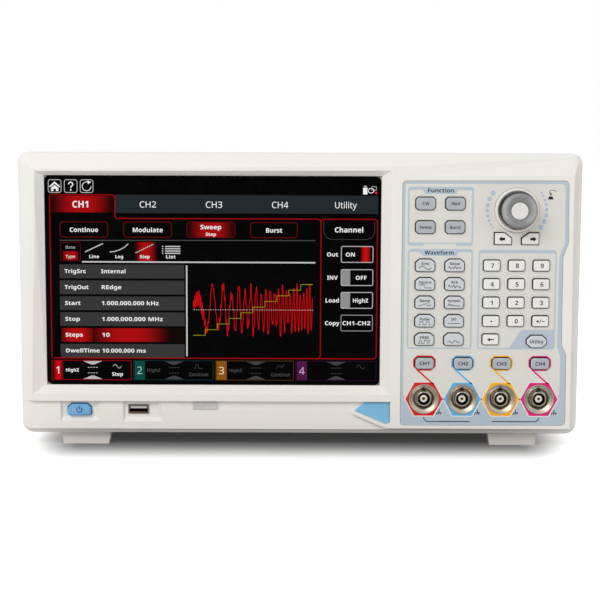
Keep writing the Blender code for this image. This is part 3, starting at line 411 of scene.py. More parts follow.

# %% [markdown]
# ## Key caps
# Each key's cap has one tone, and its colour is darkened a little behind its face: a painted shade
# for the shadowed gap and slot round the cap, which shows as a thin dark line between cap and panel.
# The shaded part is found by depth, because everything on a key that lies a little behind its face
# belongs to it. The painted shade is darkest on the edges that look upwards and to the left, so the
# share also follows the direction of the surface.


# %% Key plastic
def key_plastic(name, web, roughness=0.42):
    material = moulded(name, web, roughness, 0.22, 0.03, 0.35, 0.012, edge=0.3)
    tree, shader, colour = reopen(material)
    depth = own_axes(tree)[1]
    # painted shade: the key's sides behind its face turn dark, standing in for the shadow in the gap round
    # the cap
    back = ramp(tree, depth, (FRONT - 1.15) * MM, (FRONT - 0.7) * MM)
    # the painted shade follows the direction of the surface, darkest on edges that look up and to the left
    facing = add_node(tree, "ShaderNodeVectorMath", {"operation": "DOT_PRODUCT"}, i1=(-0.6, 0.0, 0.8))
    tree.links.new(add_node(tree, "ShaderNodeNewGeometry").outputs["Normal"], facing.inputs[0])
    share = calculate(tree, "MULTIPLY", back, ramp(tree, facing.outputs["Value"], -0.9, 0.5, 0.55, 1.0))
    dark = blend_colour(tree, share, colour, paint("#1d1e20"))
    tree.links.new(dark, shader.inputs["Base Color"])
    return material


KEY_FINISHES = {
    "keys_blue_grey": key_plastic("key_blue_grey", "#b0b5bd"),
    "keys_light_grey": key_plastic("key_light_grey", "#cfd3d6"),
    "keys_white": key_plastic("key_white", "#edebe6"),
}
button_plastic = moulded("button_blue_plastic", "#66a8dc", 0.35, 0.22, 0.03, 0.2, 0.012)
print("key finishes:", sorted(KEY_FINISHES))


# %% [markdown]
# ## Metal
# The sockets are nickel-plated brass, so the metal is warm and a little dull. The turned rings feed
# colour, roughness and bump. The barrel's rim gets a painted highlight: its colour turns near white
# where it looks up towards the lamps.


# %% Turned and sheet metal
def turned_metal(name, web, shadow, pitch=0.5, roughness=0.3):
    material, tree, shader = new_material(name)
    colours = {"Colour": paint(web), "Shadow_Colour": paint(shadow)}
    surface = use_group(tree, rings, **colours, Pitch=pitch, Roughness=roughness)
    tree.links.new(surface.outputs["Colour"], shader.inputs["Base Color"])
    tree.links.new(surface.outputs["Roughness"], shader.inputs["Roughness"])
    bump = add_node(tree, "ShaderNodeBump", Strength=0.25, Distance=0.01 * MM)
    tree.links.new(surface.outputs["Height"], bump.inputs["Height"])
    tree.links.new(bump.outputs[0], shader.inputs["Normal"])
    shader.inputs["Metallic"].default_value = 1.0
    return material


nickel = turned_metal("nickel_plate", "#c9c0b0", "#9d9280", 0.6, 0.42)
# painted shade: the bore's inner wall and the lugs get a dark brown metal for the shade deep in the socket
painted_shade_metal = turned_metal("socket_bore", "#4a4238", "#221d18", 0.4, 0.5)
steel = turned_metal("steel", "#b9b9b6", "#8e8e8b", 0.4, 0.35)
rim_metal = turned_metal("barrel_rim", "#8d8474", "#6d6455", 0.4, 0.25)
# painted highlight: the rim's colour turns near white where its surface faces up
tree, shader, colour = reopen(rim_metal)
normal = add_node(tree, "ShaderNodeNewGeometry").outputs["Normal"]
upward = add_node(tree, "ShaderNodeSeparateXYZ", Vector=normal).outputs[2]
bright = ramp(tree, upward, 0.1, 0.7)
tree.links.new(blend_colour(tree, bright, colour, paint("#f6f5f2")), shader.inputs["Base Color"])
brass = turned_metal("contact_brass", "#8a6a3c", "#3a2a18", 0.2, 0.35)
sheet_metal = turned_metal("sheet_metal", "#b6b4ae", "#95938d", 3.0, 0.4)
insulator = moulded("insulator_white", "#efe9dd", 0.35, 0.2, 0.03, 0.0, edge=0.1)
print("metals:", [m.name for m in (nickel, painted_shade_metal, steel, rim_metal, brass, sheet_metal)])

# %% [markdown]
# ## Circuit boards
# Green solder mask over copper: the tracks show as slightly raised, lighter lines. A brick texture
# with thin joints makes a plausible net of tracks, and the grain group gives the mask its haze. The
# parts that stand up from the board are plated cans and connector shells, so from a little above the
# board's face the same material turns into bright metal.

# %% Circuit board
board_green, tree, shader = new_material("circuit_board_green")
surface = use_group(tree, grain, Colour=paint("#2c5a34"), Grain_Size=0.8, Shade_Drift=0.25, Roughness=0.4)
place = add_node(tree, "ShaderNodeTexCoord").outputs["Object"]
tracks = add_node(tree, "ShaderNodeTexBrick", Vector=place, Scale=90.0, Mortar_Size=0.03).outputs["Fac"]
mixed = blend_colour(tree, tracks, surface.outputs["Colour"], paint("#5f8a4e"))
height = add_node(tree, "ShaderNodeSeparateXYZ", Vector=place).outputs[2]
board_face = (box_of("main_board")[0].z + 2.0) * MM
standing = ramp(tree, height, board_face, board_face + 0.2 * MM)
tree.links.new(blend_colour(tree, standing, mixed, paint("#b9b7b0")), shader.inputs["Base Color"])
tree.links.new(calculate(tree, "MULTIPLY", standing, 0.9), shader.inputs["Metallic"])
tree.links.new(surface.outputs["Roughness"], shader.inputs["Roughness"])
bump = add_node(tree, "ShaderNodeBump", Strength=0.3, Distance=0.03 * MM, Height=tracks)
tree.links.new(bump.outputs[0], shader.inputs["Normal"])
print("material:", board_green.name)

# %% [markdown]
# ## Panel film
# The control panel wears one sheet of matt polycarbonate. Its face is embossed with a very fine
# velvet texture, finer than the housing's grain, and it is a shade greyer than the housing.

# %% Film, glass and clear colours
film = moulded("panel_film", "#dfddd5", 0.55, 0.16, 0.02, 0.0, 0.008, edge=0.1)


def printed(name, web, mottling=0.06):
    material, tree, shader = new_material(name)
    surface = use_group(tree, ink, Colour=paint(web), Mottling=mottling)
    tree.links.new(surface.outputs["Colour"], shader.inputs["Base Color"])
    tree.links.new(surface.outputs["Roughness"], shader.inputs["Roughness"])
    shader.inputs["Specular IOR Level"].default_value = 0.3
    return material


field_ink = printed("field_blue_grey", "#b7c5d0")
cream_ink = printed("outline_cream", "#e6e4dd")
word_ink = printed("word_black", "#15171b", 0.1)
pale_dot_ink = printed("dot_blue", "#b3bfd4")
CHANNEL_INKS = [
    printed("channel_red", "#dd181c"),
    printed("channel_blue", "#62b4e4"),
    printed("channel_yellow", "#fdb515"),
    printed("channel_magenta", "#e3177a"),
]
sky_plate = moulded("accent_sky_blue", "#7fbfe0", 0.4, 0.25, 0.02, 0.0)
badge_metal = moulded("badge_plate_grey", "#c9c8c4", 0.35, 0.25, 0.03, 0.1)
print("inks:", len(CHANNEL_INKS) + 4)

# %% [markdown]
# ## Black glass
# The touch glass is black because the display behind it is dark where nothing is lit. It carries an
# anti-reflection coat, so its mirror is weak. Fingers leave a faint haze, a broad noise on roughness.

# %% Glass
black_glass, tree, shader = new_material("touch_glass_black")
place = add_node(tree, "ShaderNodeTexCoord").outputs["Object"]
smears = add_node(tree, "ShaderNodeTexNoise", Vector=place, Scale=45.0, Detail=4.0, Distortion=1.5).outputs[0]
tree.links.new(ramp(tree, smears, 0.35, 0.75, 0.1, 0.2), shader.inputs["Roughness"])
dark = blend_colour(tree, ramp(tree, smears, 0.3, 0.8), paint("#000001"), paint("#030304"))
tree.links.new(dark, shader.inputs["Base Color"])
shader.inputs["Specular IOR Level"].default_value = 0.03


def glowing(name, web, rim=None, half=10.0, centre=0.0):
    """A lit field of the display: web in the middle, rim at half millimetres from the centre."""
    material, tree, shader = new_material(name)
    surface = use_group(
        tree, lit, Colour=paint(web), Rim_Colour=paint(rim or web), Half_Width=half, Centre=centre
    )
    tree.links.new(surface.outputs["Colour"], shader.inputs["Emission Color"])
    shader.inputs["Emission Strength"].default_value = 1.0
    shader.inputs["Base Color"].default_value = (0.0, 0.0, 0.0, 1)
    shader.inputs["Roughness"].default_value = 0.15
    shader.inputs["Specular IOR Level"].default_value = 0.03
    return material


LIT = {
    "white": glowing("lit_white", "#f2f2f2"),
    "soft": glowing("lit_soft_white", "#b9b9b9"),
    "dim": glowing("lit_dim_grey", "#424242"),
    "slate": glowing("lit_slate", "#222a2e"),
    "row": glowing("lit_row", "#363636"),
    "line": glowing("lit_line_grey", "#4a4a4a"),
    "bright_line": glowing("lit_line_bright", "#c4c4c4"),
    "slider": glowing("lit_slider", "#8f8f8f"),
    "red": glowing("lit_red", "#920609"),
    "dark_red": glowing("lit_dark_red", "#62080b"),
    "wave_red": glowing("lit_wave_red", "#d8070c"),
    "olive": glowing("lit_olive", "#8f8f10"),
    "dot_red": glowing("lit_dot_red", "#f0144a"),
    "teal": glowing("lit_teal", "#0b4a46"),
    "amber": glowing("lit_amber", "#8a5410"),
    "purple": glowing("lit_purple", "#4d1544"),
    "amber_text": glowing("lit_amber_text", "#f0d9b0"),
    "teal_text": glowing("lit_teal_text", "#9fc4c2"),
    "purple_text": glowing("lit_purple_text", "#cfa6c8"),
}
print("lit fields:", len(LIT))

# %% [markdown]
# ## Give the CAD nodes their finishes
# A node's packed material is named for its slot in the record, so one table sends each slot to its
# finish. The meshes stay as they are.

# %% Assign finishes
FINISHES = {
    "shell": shell_plastic,
    "overlay": film,
    "black_glass": black_glass,
    "display_metal": sheet_metal,
    "button_blue": button_plastic,
    "knob_grey": knob_plastic,
    "shaft_metal": steel,
    "nickel": nickel,
    "rubber_mat": mat_rubber,
    "circuit_board": board_green,
    "black_plastic": black_plastic,
    "foot_rubber": foot_rubber,
    "trim_grey": trim_plastic,
    **KEY_FINISHES,
}
for name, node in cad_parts.items():
    for index, old in enumerate(node.data.materials):
        node.data.materials[index] = FINISHES[old.name.split(".")[0]]
print("finished nodes:", len(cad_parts))

# %% [markdown]
# ## Front USB port
# The port is a folded steel shell. Its mouth is in shadow and a plastic tongue carries the contacts.
# The shell's colour is painted dark just behind its front edge, a painted shade for the shadow in the
# mouth, and the tongue is a piece of its own.

# %% Port metal
port_metal = turned_metal("port_steel", "#c9c4ba", "#9a958b", 0.5, 0.35)
tree, shader, colour = reopen(port_metal)
depth = own_axes(tree)[1]
mouth = box_of("usb_port")[0]
# painted shade: the shell's colour turns near black behind its mouth
inside = ramp(tree, depth, (mouth.y + 0.1) * MM, (mouth.y + 0.9) * MM)
tree.links.new(blend_colour(tree, inside, colour, paint("#0c0c0d")), shader.inputs["Base Color"])
port_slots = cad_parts["usb_port"].data.materials
for index in range(len(port_slots)):
    port_slots[index] = port_metal
print("port mouth at y %.1f mm" % mouth.y)

# %% [markdown]
# ## Soft corners on keys and trim
# A moulded corner is never sharp. A Bevel modifier rounds real geometry, which also shows in outline.
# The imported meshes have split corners, so a Weld joins them and a planar Decimate removes the inner
# triangle edges first. Then only true corners are left for the bevel.


# %% Bevel the nodes
def soften(name, width, segments=2, angle=30.0):
    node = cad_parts[name]
    weld = node.modifiers.new("weld", "WELD")
    weld.merge_threshold = 0.002 * MM
    flat_faces = node.modifiers.new("flat_faces", "DECIMATE")
    flat_faces.decimate_type = "DISSOLVE"
    flat_faces.angle_limit = math.radians(1.0)
    round_off = node.modifiers.new("round_off", "BEVEL")
    round_off.width = width * MM
    round_off.segments = segments
    round_off.limit_method = "ANGLE"
    round_off.angle_limit = math.radians(angle)
    round_off.harden_normals = False


KEY_CORNER = 0.32
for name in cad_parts:
    if name.startswith("key_") and name != "key_board":
        soften(name, KEY_CORNER)
SOFT_TRIM = {"power_button": 0.2, "carry_handle": 0.6, "tilt_leg_left": 0.4, "tilt_leg_right": 0.4}
for name, width in SOFT_TRIM.items():
    soften(name, width)
print("softened nodes:", sum(len(node.modifiers) > 0 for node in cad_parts.values()))


# %% [markdown]
# ## Thin printed pieces
# A print has an outline and almost no thickness. A 2D curve is the simplest way: Blender fills closed
# outlines, an outline inside another becomes a hole, and Extrude gives the fill a few hundredths of
# a millimetre. The curve is drawn flat and turned upright to face the front.


# %% Flat shapes
PRINT = 0.05


def flat(name, outlines, y, finish, body="case", thick=PRINT):
    """A thin filled shape whose back lies at depth y. outlines are lists of (x, z) in millimetres."""
    xs = [x for outline in outlines for x, z in outline]
    zs = [z for outline in outlines for x, z in outline]
    x0, z0 = (min(xs) + max(xs)) / 2, (min(zs) + max(zs)) / 2
    data = bpy.data.curves.new(name, "CURVE")
    data.dimensions = "2D"
    data.fill_mode = "BOTH"
    data.extrude = thick / 2 * MM
    for outline in outlines:
        spline = data.splines.new("POLY")
        spline.points.add(len(outline) - 1)
        for point, (x, z) in zip(spline.points, outline):
            point.co = ((x - x0) * MM, (z - z0) * MM, 0, 1)
        spline.use_cyclic_u = True
    piece = new_object(name, data)
    piece.location = (x0 * MM, (y - thick / 2) * MM, z0 * MM)
    piece.rotation_euler = (math.pi / 2, 0, 0)
    data.materials.append(finish)
    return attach(piece, body)


def rounded(outline, radius, steps=5):
    """The outline with its corners turned into arcs; radius is one number or one for each corner."""
    result = []
    count = len(outline)
    for index, corner in enumerate(outline):
        here = Vector(corner)
        size = radius[index] if isinstance(radius, (list, tuple)) else radius
        if size <= 0:
            result.append(tuple(here))
            continue
        back = (Vector(outline[index - 1]) - here).normalized()
        ahead = (Vector(outline[(index + 1) % count]) - here).normalized()
        half = back.angle(ahead) / 2
        centre = here + (back + ahead).normalized() * size / math.sin(half)
        start = here + back * size / math.tan(half) - centre
        end = here + ahead * size / math.tan(half) - centre
        turn = start.angle_signed(end)
        for step in range(steps + 1):
            angle = -turn * step / steps
            c, s = math.cos(angle), math.sin(angle)
            result.append((centre.x + start.x * c - start.y * s, centre.y + start.x * s + start.y * c))
    return result


def rectangle(x0, z0, x1, z1):
    return [(x0, z0), (x1, z0), (x1, z1), (x0, z1)]


def circle(x, z, radius, count=48):
    turns = [math.tau * k / count for k in range(count)]
    return [(x + radius * math.cos(a), z + radius * math.sin(a)) for a in turns]


def arc_through(x, z, wide, high, degrees):
    """Points of an ellipse round (x, z), one at each of the given degrees."""
    turns = [math.radians(d) for d in degrees]
    return [(x + wide * math.cos(a), z + high * math.sin(a)) for a in turns]


def eight_sided(x, z, half_x, half_z, low_cut, high_cut=None):
    """A rectangle with its corners cut off. A cut is (across, up), below and then above."""
    low_x, low_z = low_cut
    high_x, high_z = high_cut or low_cut
    return [
        (x - half_x + low_x, z - half_z), (x + half_x - low_x, z - half_z),
        (x + half_x, z - half_z + low_z), (x + half_x, z + half_z - high_z),
        (x + half_x - high_x, z + half_z), (x - half_x + high_x, z + half_z),
        (x - half_x, z + half_z - high_z), (x - half_x, z - half_z + low_z),
    ]


def scaled(outline, grow):
    """The outline moved outwards by grow millimetres, or inwards if grow is negative."""
    result = []
    for index, corner in enumerate(outline):
        here = Vector(corner)
        into = (here - Vector(outline[index - 1])).normalized()
        out = (Vector(outline[(index + 1) % len(outline)]) - here).normalized()
        normal_in = Vector((into.y, -into.x))
        normal_out = Vector((out.y, -out.x))
        moved = here + (normal_in + normal_out) * grow / (1 + normal_in.dot(normal_out))
        result.append(tuple(moved))
    return result


print("flat-shape helpers ready")

# %% [markdown]
# ## Words
# Lettering is Blender's own text object with a small Extrude, so it stays editable. In Blender's
# standard letters the numeral one is a bare stroke, like a capital I. Instruments use plainer letters,
# so we take Blender's sans-serif alphabets, one regular and one heavy, which sit in Unicode's
# mathematical block. The letter height is what a designer states, so we first measure a capital H in
# both alphabets and then scale to the wanted height. A wanted width is kept in a list, because Blender
# measures all the words at once far faster than one by one.

# %% Words
ALPHABETS = {False: (0x1D5A0, 0x1D5BA, 0x1D7E2), True: (0x1D5D4, 0x1D5EE, 0x1D7EC)}


def sans(text, heavy):
    """The text in the plain sans-serif alphabet; signs and spaces stay as they are."""
    capital, small, digit = ALPHABETS[heavy]
    shift = {"A": capital - ord("A"), "a": small - ord("a"), "0": digit - ord("0")}
    result = ""
    for c in text:
        kind = "A" if c.isupper() else "a" if c.islower() else "0"
        result += chr(ord(c) + shift[kind]) if c.isalnum() else c
    return result


to_fit = []
CAPITAL = {}
for heavy in (False, True):
    probe = new_object("probe", bpy.data.curves.new("probe", "FONT"))
    probe.data.body = sans("H", heavy)
    bpy.context.view_layer.update()
    CAPITAL[heavy] = probe.dimensions.y
    bpy.data.objects.remove(probe)
print("a capital is %.3f of the text size, heavy %.3f" % (CAPITAL[False], CAPITAL[True]))


HEAVY_FROM = 0.08


def word(name, text, centre, tall, y, finish, body="case", width=None, bold=0.0, align="CENTER", slant=0.0):
    """Lettering tall millimetres high, its middle at centre, squeezed to width if that is given."""
    heavy = bold >= HEAVY_FROM
    data = bpy.data.curves.new(name, "FONT")
    data.body = sans(text, heavy)
    data.size = tall * MM / CAPITAL[heavy]
    data.align_x = align
    data.extrude = PRINT / 2 * MM
    data.shear = slant
    data.resolution_u = 4
    data.materials.append(finish)
    piece = new_object(name, data)
    piece.location = (centre[0] * MM, (y - PRINT / 2) * MM, (centre[1] - tall / 2) * MM)
    piece.rotation_euler = (math.pi / 2, 0, 0)
    if width:
        to_fit.append((piece, width))
    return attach(piece, body)


STROKE_HEIGHT = 0.12


def stroke(name, paths, width, y, finish, body="case", closed=False):
    """Lines of one width through (x, z) points, flattened onto the surface at depth y."""
    points = [point for path in paths for point in path]
    x0 = sum(x for x, z in points) / len(points)
    z0 = sum(z for x, z in points) / len(points)
    data = bpy.data.curves.new(name, "CURVE")
    data.dimensions = "3D"
    data.bevel_depth = width / 2 * MM
    data.bevel_resolution = 1
    data.use_fill_caps = True
    for path in paths:
        spline = data.splines.new("POLY")
        spline.points.add(len(path) - 1)
        for point, (x, z) in zip(spline.points, path):
            point.co = ((x - x0) * MM, (z - z0) * MM, 0, 1)
        spline.use_cyclic_u = closed
    piece = new_object(name, data)
    piece.location = (x0 * MM, y * MM, z0 * MM)
    piece.rotation_euler = (math.pi / 2, 0, 0)
    piece.scale.z = STROKE_HEIGHT / width
    data.materials.append(finish)
    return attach(piece, body)


print("word helpers ready")

# %% [markdown]
# ## The film's colour border
# A blue-grey border runs round the film, thin on the left and wider on the right, and fills the whole
# lower part as far up as the middle of the sockets. It is one shape: the film's outline with the
# cream field cut out of it as a hole.

# %% Border print
INK = film_low.y
OVER_INK, TOP_INK = INK - 0.05, INK - 0.1
L, R, B, T = film_low.x, film_high.x, film_low.z, film_high.z
SOCKET_Z = middle("bnc_ch1")[1]
film_edge = [
    (L + 0.1, B), (R, B + 0.2), (R - 0.4, B + 46.8), (R - 3.5, B + 54.2),
    (R - 3.9, T - 49.3), (R - 0.5, T - 40.1), (R - 1.1, T), (L, T - 0.3),
]
outer = rounded(scaled(film_edge, -0.15), [2.6, 2.6, 0, 0, 0, 0, 2.6, 2.6])
cup_low, cup_high = box_of("bnc_ch1")
CUP = (cup_high.x - cup_low.x) / 2
sockets = [middle("bnc_ch%d" % (k + 1)) for k in range(4)]
dips = []
for x, z in sockets:
    clear = CUP + 0.45
    start = math.degrees(math.asin(1.5 / clear))
    turns = [math.radians(180 + start + (180 - 2 * start) * k / 24) for k in range(25)]
    dips += [(x + clear * math.cos(a), z + clear * math.sin(a)) for a in turns]
low_left, low_right = (L + 6.0, SOCKET_Z - 1.5), (R - 8.0, SOCKET_Z - 1.5)
low_left = (min(low_left[0], sockets[0][0] - clear - 1.0), low_left[1])
low_right = (max(low_right[0], sockets[3][0] + clear + 0.5), low_right[1])
sides = [
    (R - 4.0, SOCKET_Z + 3.5), (R - 4.0, B + 46.0), (R - 6.2, B + 52.6), (R - 6.1, T - 49.8),
    (R - 2.6, T - 40.4), (R - 3.1, T - 1.9), (L + 1.7, T - 2.0), (L + 1.7, SOCKET_Z + 3.5),
]
cream_field = [low_left, *dips, low_right, *sides]
inner = rounded(cream_field, [0] * (len(dips) + 2) + [1.0, 1.0, 1.0, 1.0, 1.0, 2.2, 1.4, 1.0])
flat("film_border", [outer, inner], INK, field_ink)
print("border round %.0f x %.0f mm of film" % (R - L, T - B))

# %% [markdown]
# ## Socket surrounds
# Each output has its channel's colour: an eight-sided ring round its key, a six-sided surround at the
# socket, and a slanted line that ties the two together. A pale outline frees the surround from the
# blue-grey field. The inner circle is left open for the socket's cup.

# %% Channel prints
SURROUND = ((12.3, 0), (6.3, 11.1), (-6.3, 11.1), (-12.3, 0), (-6.3, -11.1), (6.3, -11.1))
HOLE_GAP = 0.12
half_x, half_z = 7.45, 5.05
for index, (x, z) in enumerate(sockets):
    colour = CHANNEL_INKS[index]
    number = index + 1
    corners = [(x + u, z + v) for u, v in SURROUND]
    hole = circle(x, z, CUP + HOLE_GAP, 64)
    flat("surround_outline_%d" % number, [scaled(corners, 0.75), hole], OVER_INK, cream_ink)
    flat("surround_%d" % number, [corners, hole], TOP_INK, colour)
    key_x, key_z = middle("key_ch%d" % number)
    ring = eight_sided(key_x, key_z, half_x, half_z, (3.1, 2.9), (2.6, 2.4))
    opening = eight_sided(key_x, key_z, 6.65, 4.3, (2.2, 2.2))
    flat("channel_ring_%d" % number, [rounded(ring, 0.8), opening], OVER_INK, colour)
    start = Vector((key_x - half_x + 2.3, key_z - half_z + 0.9))
    end = Vector((x + 5.9, z + 10.2))
    side = (end - start).normalized().orthogonal() * 0.5
    link = [tuple(start + side), tuple(start - side), tuple(end - side), tuple(end + side)]
    flat("channel_link_%d" % number, [link], TOP_INK, colour)
    gx, gz = x + 10.2, z - 8.2
    paths = [[(gx, gz + 1.3), (gx, gz - 0.9)], [(gx - 1.5, gz - 0.9), (gx + 1.6, gz - 0.9)]]
    paths += [[(gx + k, gz - 0.9), (gx + k - 0.7, gz - 2.2)] for k in (-1.2, 0.1, 1.4)]
    stroke("ground_sign_%d" % number, paths, 0.55, OVER_INK, word_ink)
x1, x4 = sockets[0][0], sockets[3][0]
low = SOCKET_Z - 15.0
brackets = [
    [(x1 - 0.1, low + 3.0), (x1 + 0.4, low + 1.4), (x1 + 2.3, low), (x1 + 30.5, low)],
    [(x4 - 30.8, low), (x4 - 1.8, low), (x4 - 0.3, low + 1.2), (x4 + 0.2, low + 2.8)],
]
stroke("output_bracket", brackets, 0.65, OVER_INK, word_ink)
print("surrounds:", len(sockets))

# %% [markdown]
# ## Frames round the key groups
# Function, waveform and number keys each sit in a printed frame. The frame is a band with a hole, and
# its upper edge sags into a tab behind the title. Where the band is stepped at the bottom, the outer
# outline simply has a notch.


# %% Key group frames
def group_frame(name, x0, z0, x1, z1, tab=None, notch=None, top=2.0, side=1.1, foot=2.1):
    outer = [(x0, z0)]
    radii = [2.0]
    if notch:
        step = z0 + foot - 0.8
        outer += [(notch[0], z0), (notch[0] + 1.3, step), (notch[1] - 1.3, step), (notch[1], z0)]
        radii += [0, 0, 0, 0]
    outer += [(x1, z0), (x1, z1), (x0, z1)]
    radii += [2.0, 2.2, 2.2]
    inside = [(x0 + side, z0 + foot), (x1 - side, z0 + foot), (x1 - side, z1 - top)]
    inner_radii = [0.8, 0.8, 1.2]
    if tab:
        inside += [(tab[1], z1 - top), (tab[1] - 1.6, z1 - 4.6), (tab[0] + 1.6, z1 - 4.6), (tab[0], z1 - top)]
        inner_radii += [0.6, 0.9, 0.9, 0.6]
    inside += [(x0 + side, z1 - top)]
    inner_radii += [1.2]
    return flat(name, [rounded(outer, radii), rounded(inside, inner_radii)], INK, field_ink)


cw_x, cw_z = middle("key_cw")
sine_x, sine_z = middle("key_sine")
seven_x, seven_z = middle("key_7")
fx0, fx1 = cw_x - 11.5, cw_x + 31.4
tab, notch = (cw_x - 1.9, cw_x + 21.4), (cw_x - 1.6, cw_x + 20.9)
group_frame("function_frame", fx0, cw_z - 27.6, fx1, cw_z + 10.9, tab, notch)
wx0, wx1 = sine_x - 11.5, sine_x + 31.3
tab = (sine_x - 3.5, sine_x + 22.2)
group_frame("waveform_frame", wx0, sine_z - 55.3, wx1, sine_z + 10.7, tab, foot=0.9)
nx0, nx1 = seven_x - 8.6, seven_x + 42.6
nz0, nz1 = seven_z - 55.4, seven_z + 10.3
group_frame("number_frame", nx0, nz0, nx1, nz1, top=2.2, side=0.9, foot=0.9)
corner = [(nx1 - 30.4, nz0 + 0.5), (nx1 - 0.4, nz0 + 0.5), (nx1 - 0.6, nz0 + 13.0), (nx1 - 22.2, nz0 + 13.0)]
utility_x, utility_z = middle("key_utility")
around_key = eight_sided(utility_x, utility_z, 7.0, 4.5, (3.2, 2.9))
flat("number_frame_corner", [rounded(corner, [0.6, 1.4, 0.6, 1.0]), around_key], OVER_INK, field_ink)
for text, centre, width in (
    ("Function", (cw_x + 9.9, cw_z + 8.55), 17.0),
    ("Waveform", (sine_x + 9.2, sine_z + 8.3), 19.0),
):
    word("title_" + text.lower(), text, centre, 2.6, OVER_INK, word_ink, width=width, bold=0.15)
print("frames: function, waveform, number")

# %% [markdown]
# ## Dots round the knob
# Two rows of dots follow the knob's rim, and each shrinks towards its end to show the way of turning.
# A small sign above them says that the knob can also be pressed.

# %% Dots round the knob
knob_x, knob_z = middle("knob")
DOT_CIRCLE, FIRST_DOT, DOT_SHRINK = 19.35, 1.65, 0.145
dot_angles = [144.7, 158.0, 170.4, 181.0, 191.0, 200.5, 209.0, 215.9]
for side, turn in (("left", 0.0), ("right", 180.0)):
    for index, angle in enumerate(dot_angles):
        a = math.radians(angle + turn)
        radius = FIRST_DOT - DOT_SHRINK * index
        centre = (knob_x + DOT_CIRCLE * math.cos(a), knob_z + DOT_CIRCLE * math.sin(a))
        flat("dot_%s_%d" % (side, index), [circle(*centre, radius, 24)], INK, pale_dot_ink)
sign_x, sign_z = knob_x + 21.8, knob_z + 8.2
base = [(sign_x + u, sign_z + v) for u, v in ((-1.9, -1.1), (1.9, -1.1), (1.1, 0.9), (-1.1, 0.9))]
flat("press_sign_base", [base], INK, word_ink)
flat("press_sign_stem", [circle(sign_x, sign_z + 2.3, 0.6, 20)], INK, word_ink)
arc = arc_through(sign_x + 1.3, sign_z + 3.4, 2.4, 1.5, range(15, 196, 15))
stroke("press_sign_arc", [arc, [arc[-1], (arc[-1][0] + 1.3, arc[-1][1] + 0.2)]], 0.35, INK, word_ink)
print("dots:", 2 * len(dot_angles))

# %% [markdown]
# ## Words on the keys
# Each legend is printed on its key's face and must travel with the key, so it rides on the body that
# has the key's name. A waveform key has its word above a small picture of the wave.

# %% Key legends
KEY_FACE = box_of("key_cw")[0].y


def legend(node, text, tall, width=None, dx=0.0, dz=0.0, bold=0.05):
    x, z = middle(node)
    word("legend_" + node[4:], text, (x + dx, z + dz), tall, KEY_FACE, word_ink, node, width, bold)


FUNCTION_WORDS = {"CW": 4.4, "Mod": 5.2, "Sweep": 7.8, "Burst": 6.8}
for text, width in FUNCTION_WORDS.items():
    legend("key_" + text.lower(), text, 1.9, width, bold=0.1)
for digit in range(10):
    legend("key_%d" % digit, str(digit), 2.9, 2.0 if digit != 1 else 1.5, bold=0.16, dx=0.4)
legend("key_utility", "Utility", 2.1, 9.0, bold=0.1)
for number in range(1, 5):
    legend("key_ch%d" % number, "CH%d" % number, 2.3, 6.4, bold=0.16)
WAVE_WORDS = {
    "Sine": 5.2, "Noise": 6.4, "Square": 8.0, "Arb": 4.4, "Ramp": 6.6, "Harmonic": 8.2, "Pulse": 6.4,
    "DC": 3.4, "PRBS": 6.0,
}
for text, width in WAVE_WORDS.items():
    legend("key_" + text.lower(), text, 1.7, width, dz=1.2, bold=0.1)

# %% [markdown]
# ## Little wave pictures and signs
# A picture of a wave is a line through a few points. One function gives the height at each point, and
# `stroke` gives the line its width. Stepped waves use two points at each jump.


# %% Wave pictures
def trace(shape, count=24):
    return [(k / count * 2 - 1, shape(k / count)) for k in range(count + 1)]


def steps(levels):
    points = []
    for index, level in enumerate(levels):
        points += [(index / len(levels) * 2 - 1, level), ((index + 1) / len(levels) * 2 - 1, level)]
    return points


WAVES = {
    "key_sine": trace(lambda t: math.sin(math.tau * t)),
    "key_noise": trace(lambda t: math.sin(math.tau * 4.2 * t) * (0.6 + 0.4 * math.cos(11 * t)), 40),
    "key_square": steps([1, 1, -1, -1]),
    "key_arb": trace(lambda t: 0.6 * math.sin(math.tau * 3 * t) + 0.4 * math.sin(math.tau * 5 * t), 40),
    "key_ramp": [(-1, -0.8), (0.35, 0.9), (0.4, -0.8), (1, 0.0)],
    "key_harmonic": trace(lambda t: math.exp(-2.2 * t) * abs(math.sin(math.tau * 2.5 * t)) * 2 - 0.8, 40),
    "key_pulse": steps([-1, 1, 1, -1, -1, 1, 1, -1]),
    "key_dc": [(-1, 0), (1, 0)],
    "key_prbs": steps([-1, 1, -1, -1, 1, 1, -1, 1]),
    "key_user": trace(lambda t: math.sin(math.tau * 2 * t) * math.sin(math.pi * t), 30),
}
for node, points in WAVES.items():
    x, z = middle(node)
    path = [(x + 4.1 * u, z - 1.55 + 1.0 * v) for u, v in points]
    stroke("wave_" + node[4:], [path], 0.42, KEY_FACE, word_ink, node)
for node, side, shift in (("key_arrow_left", -1, -0.75), ("key_arrow_right", 1, 1.9)):
    x, z = middle(node)
    x, z = x + shift, z - 0.2
    arrow = [(2.1, 0), (0.1, 1.7), (0.1, 0.85), (-2.0, 0.85), (-2.0, -0.85), (0.1, -0.85), (0.1, -1.7)]
    flat("sign_" + node[4:], [[(x + side * u, z + v) for u, v in arrow]], KEY_FACE, word_ink, node)
x, z = middle("key_back")
arrow = [(-2.4, 0), (-0.4, 1.2), (-0.4, 0.35), (2.2, 0.35), (2.2, -0.35), (-0.4, -0.35), (-0.4, -1.2)]
flat("sign_back", [[(x + u, z + v) for u, v in arrow]], KEY_FACE, word_ink, "key_back")
x, z = middle("key_point")
flat("sign_point", [circle(x + 0.3, z - 0.1, 0.55, 20)], KEY_FACE, word_ink, "key_point")
x, z = middle("key_sign")
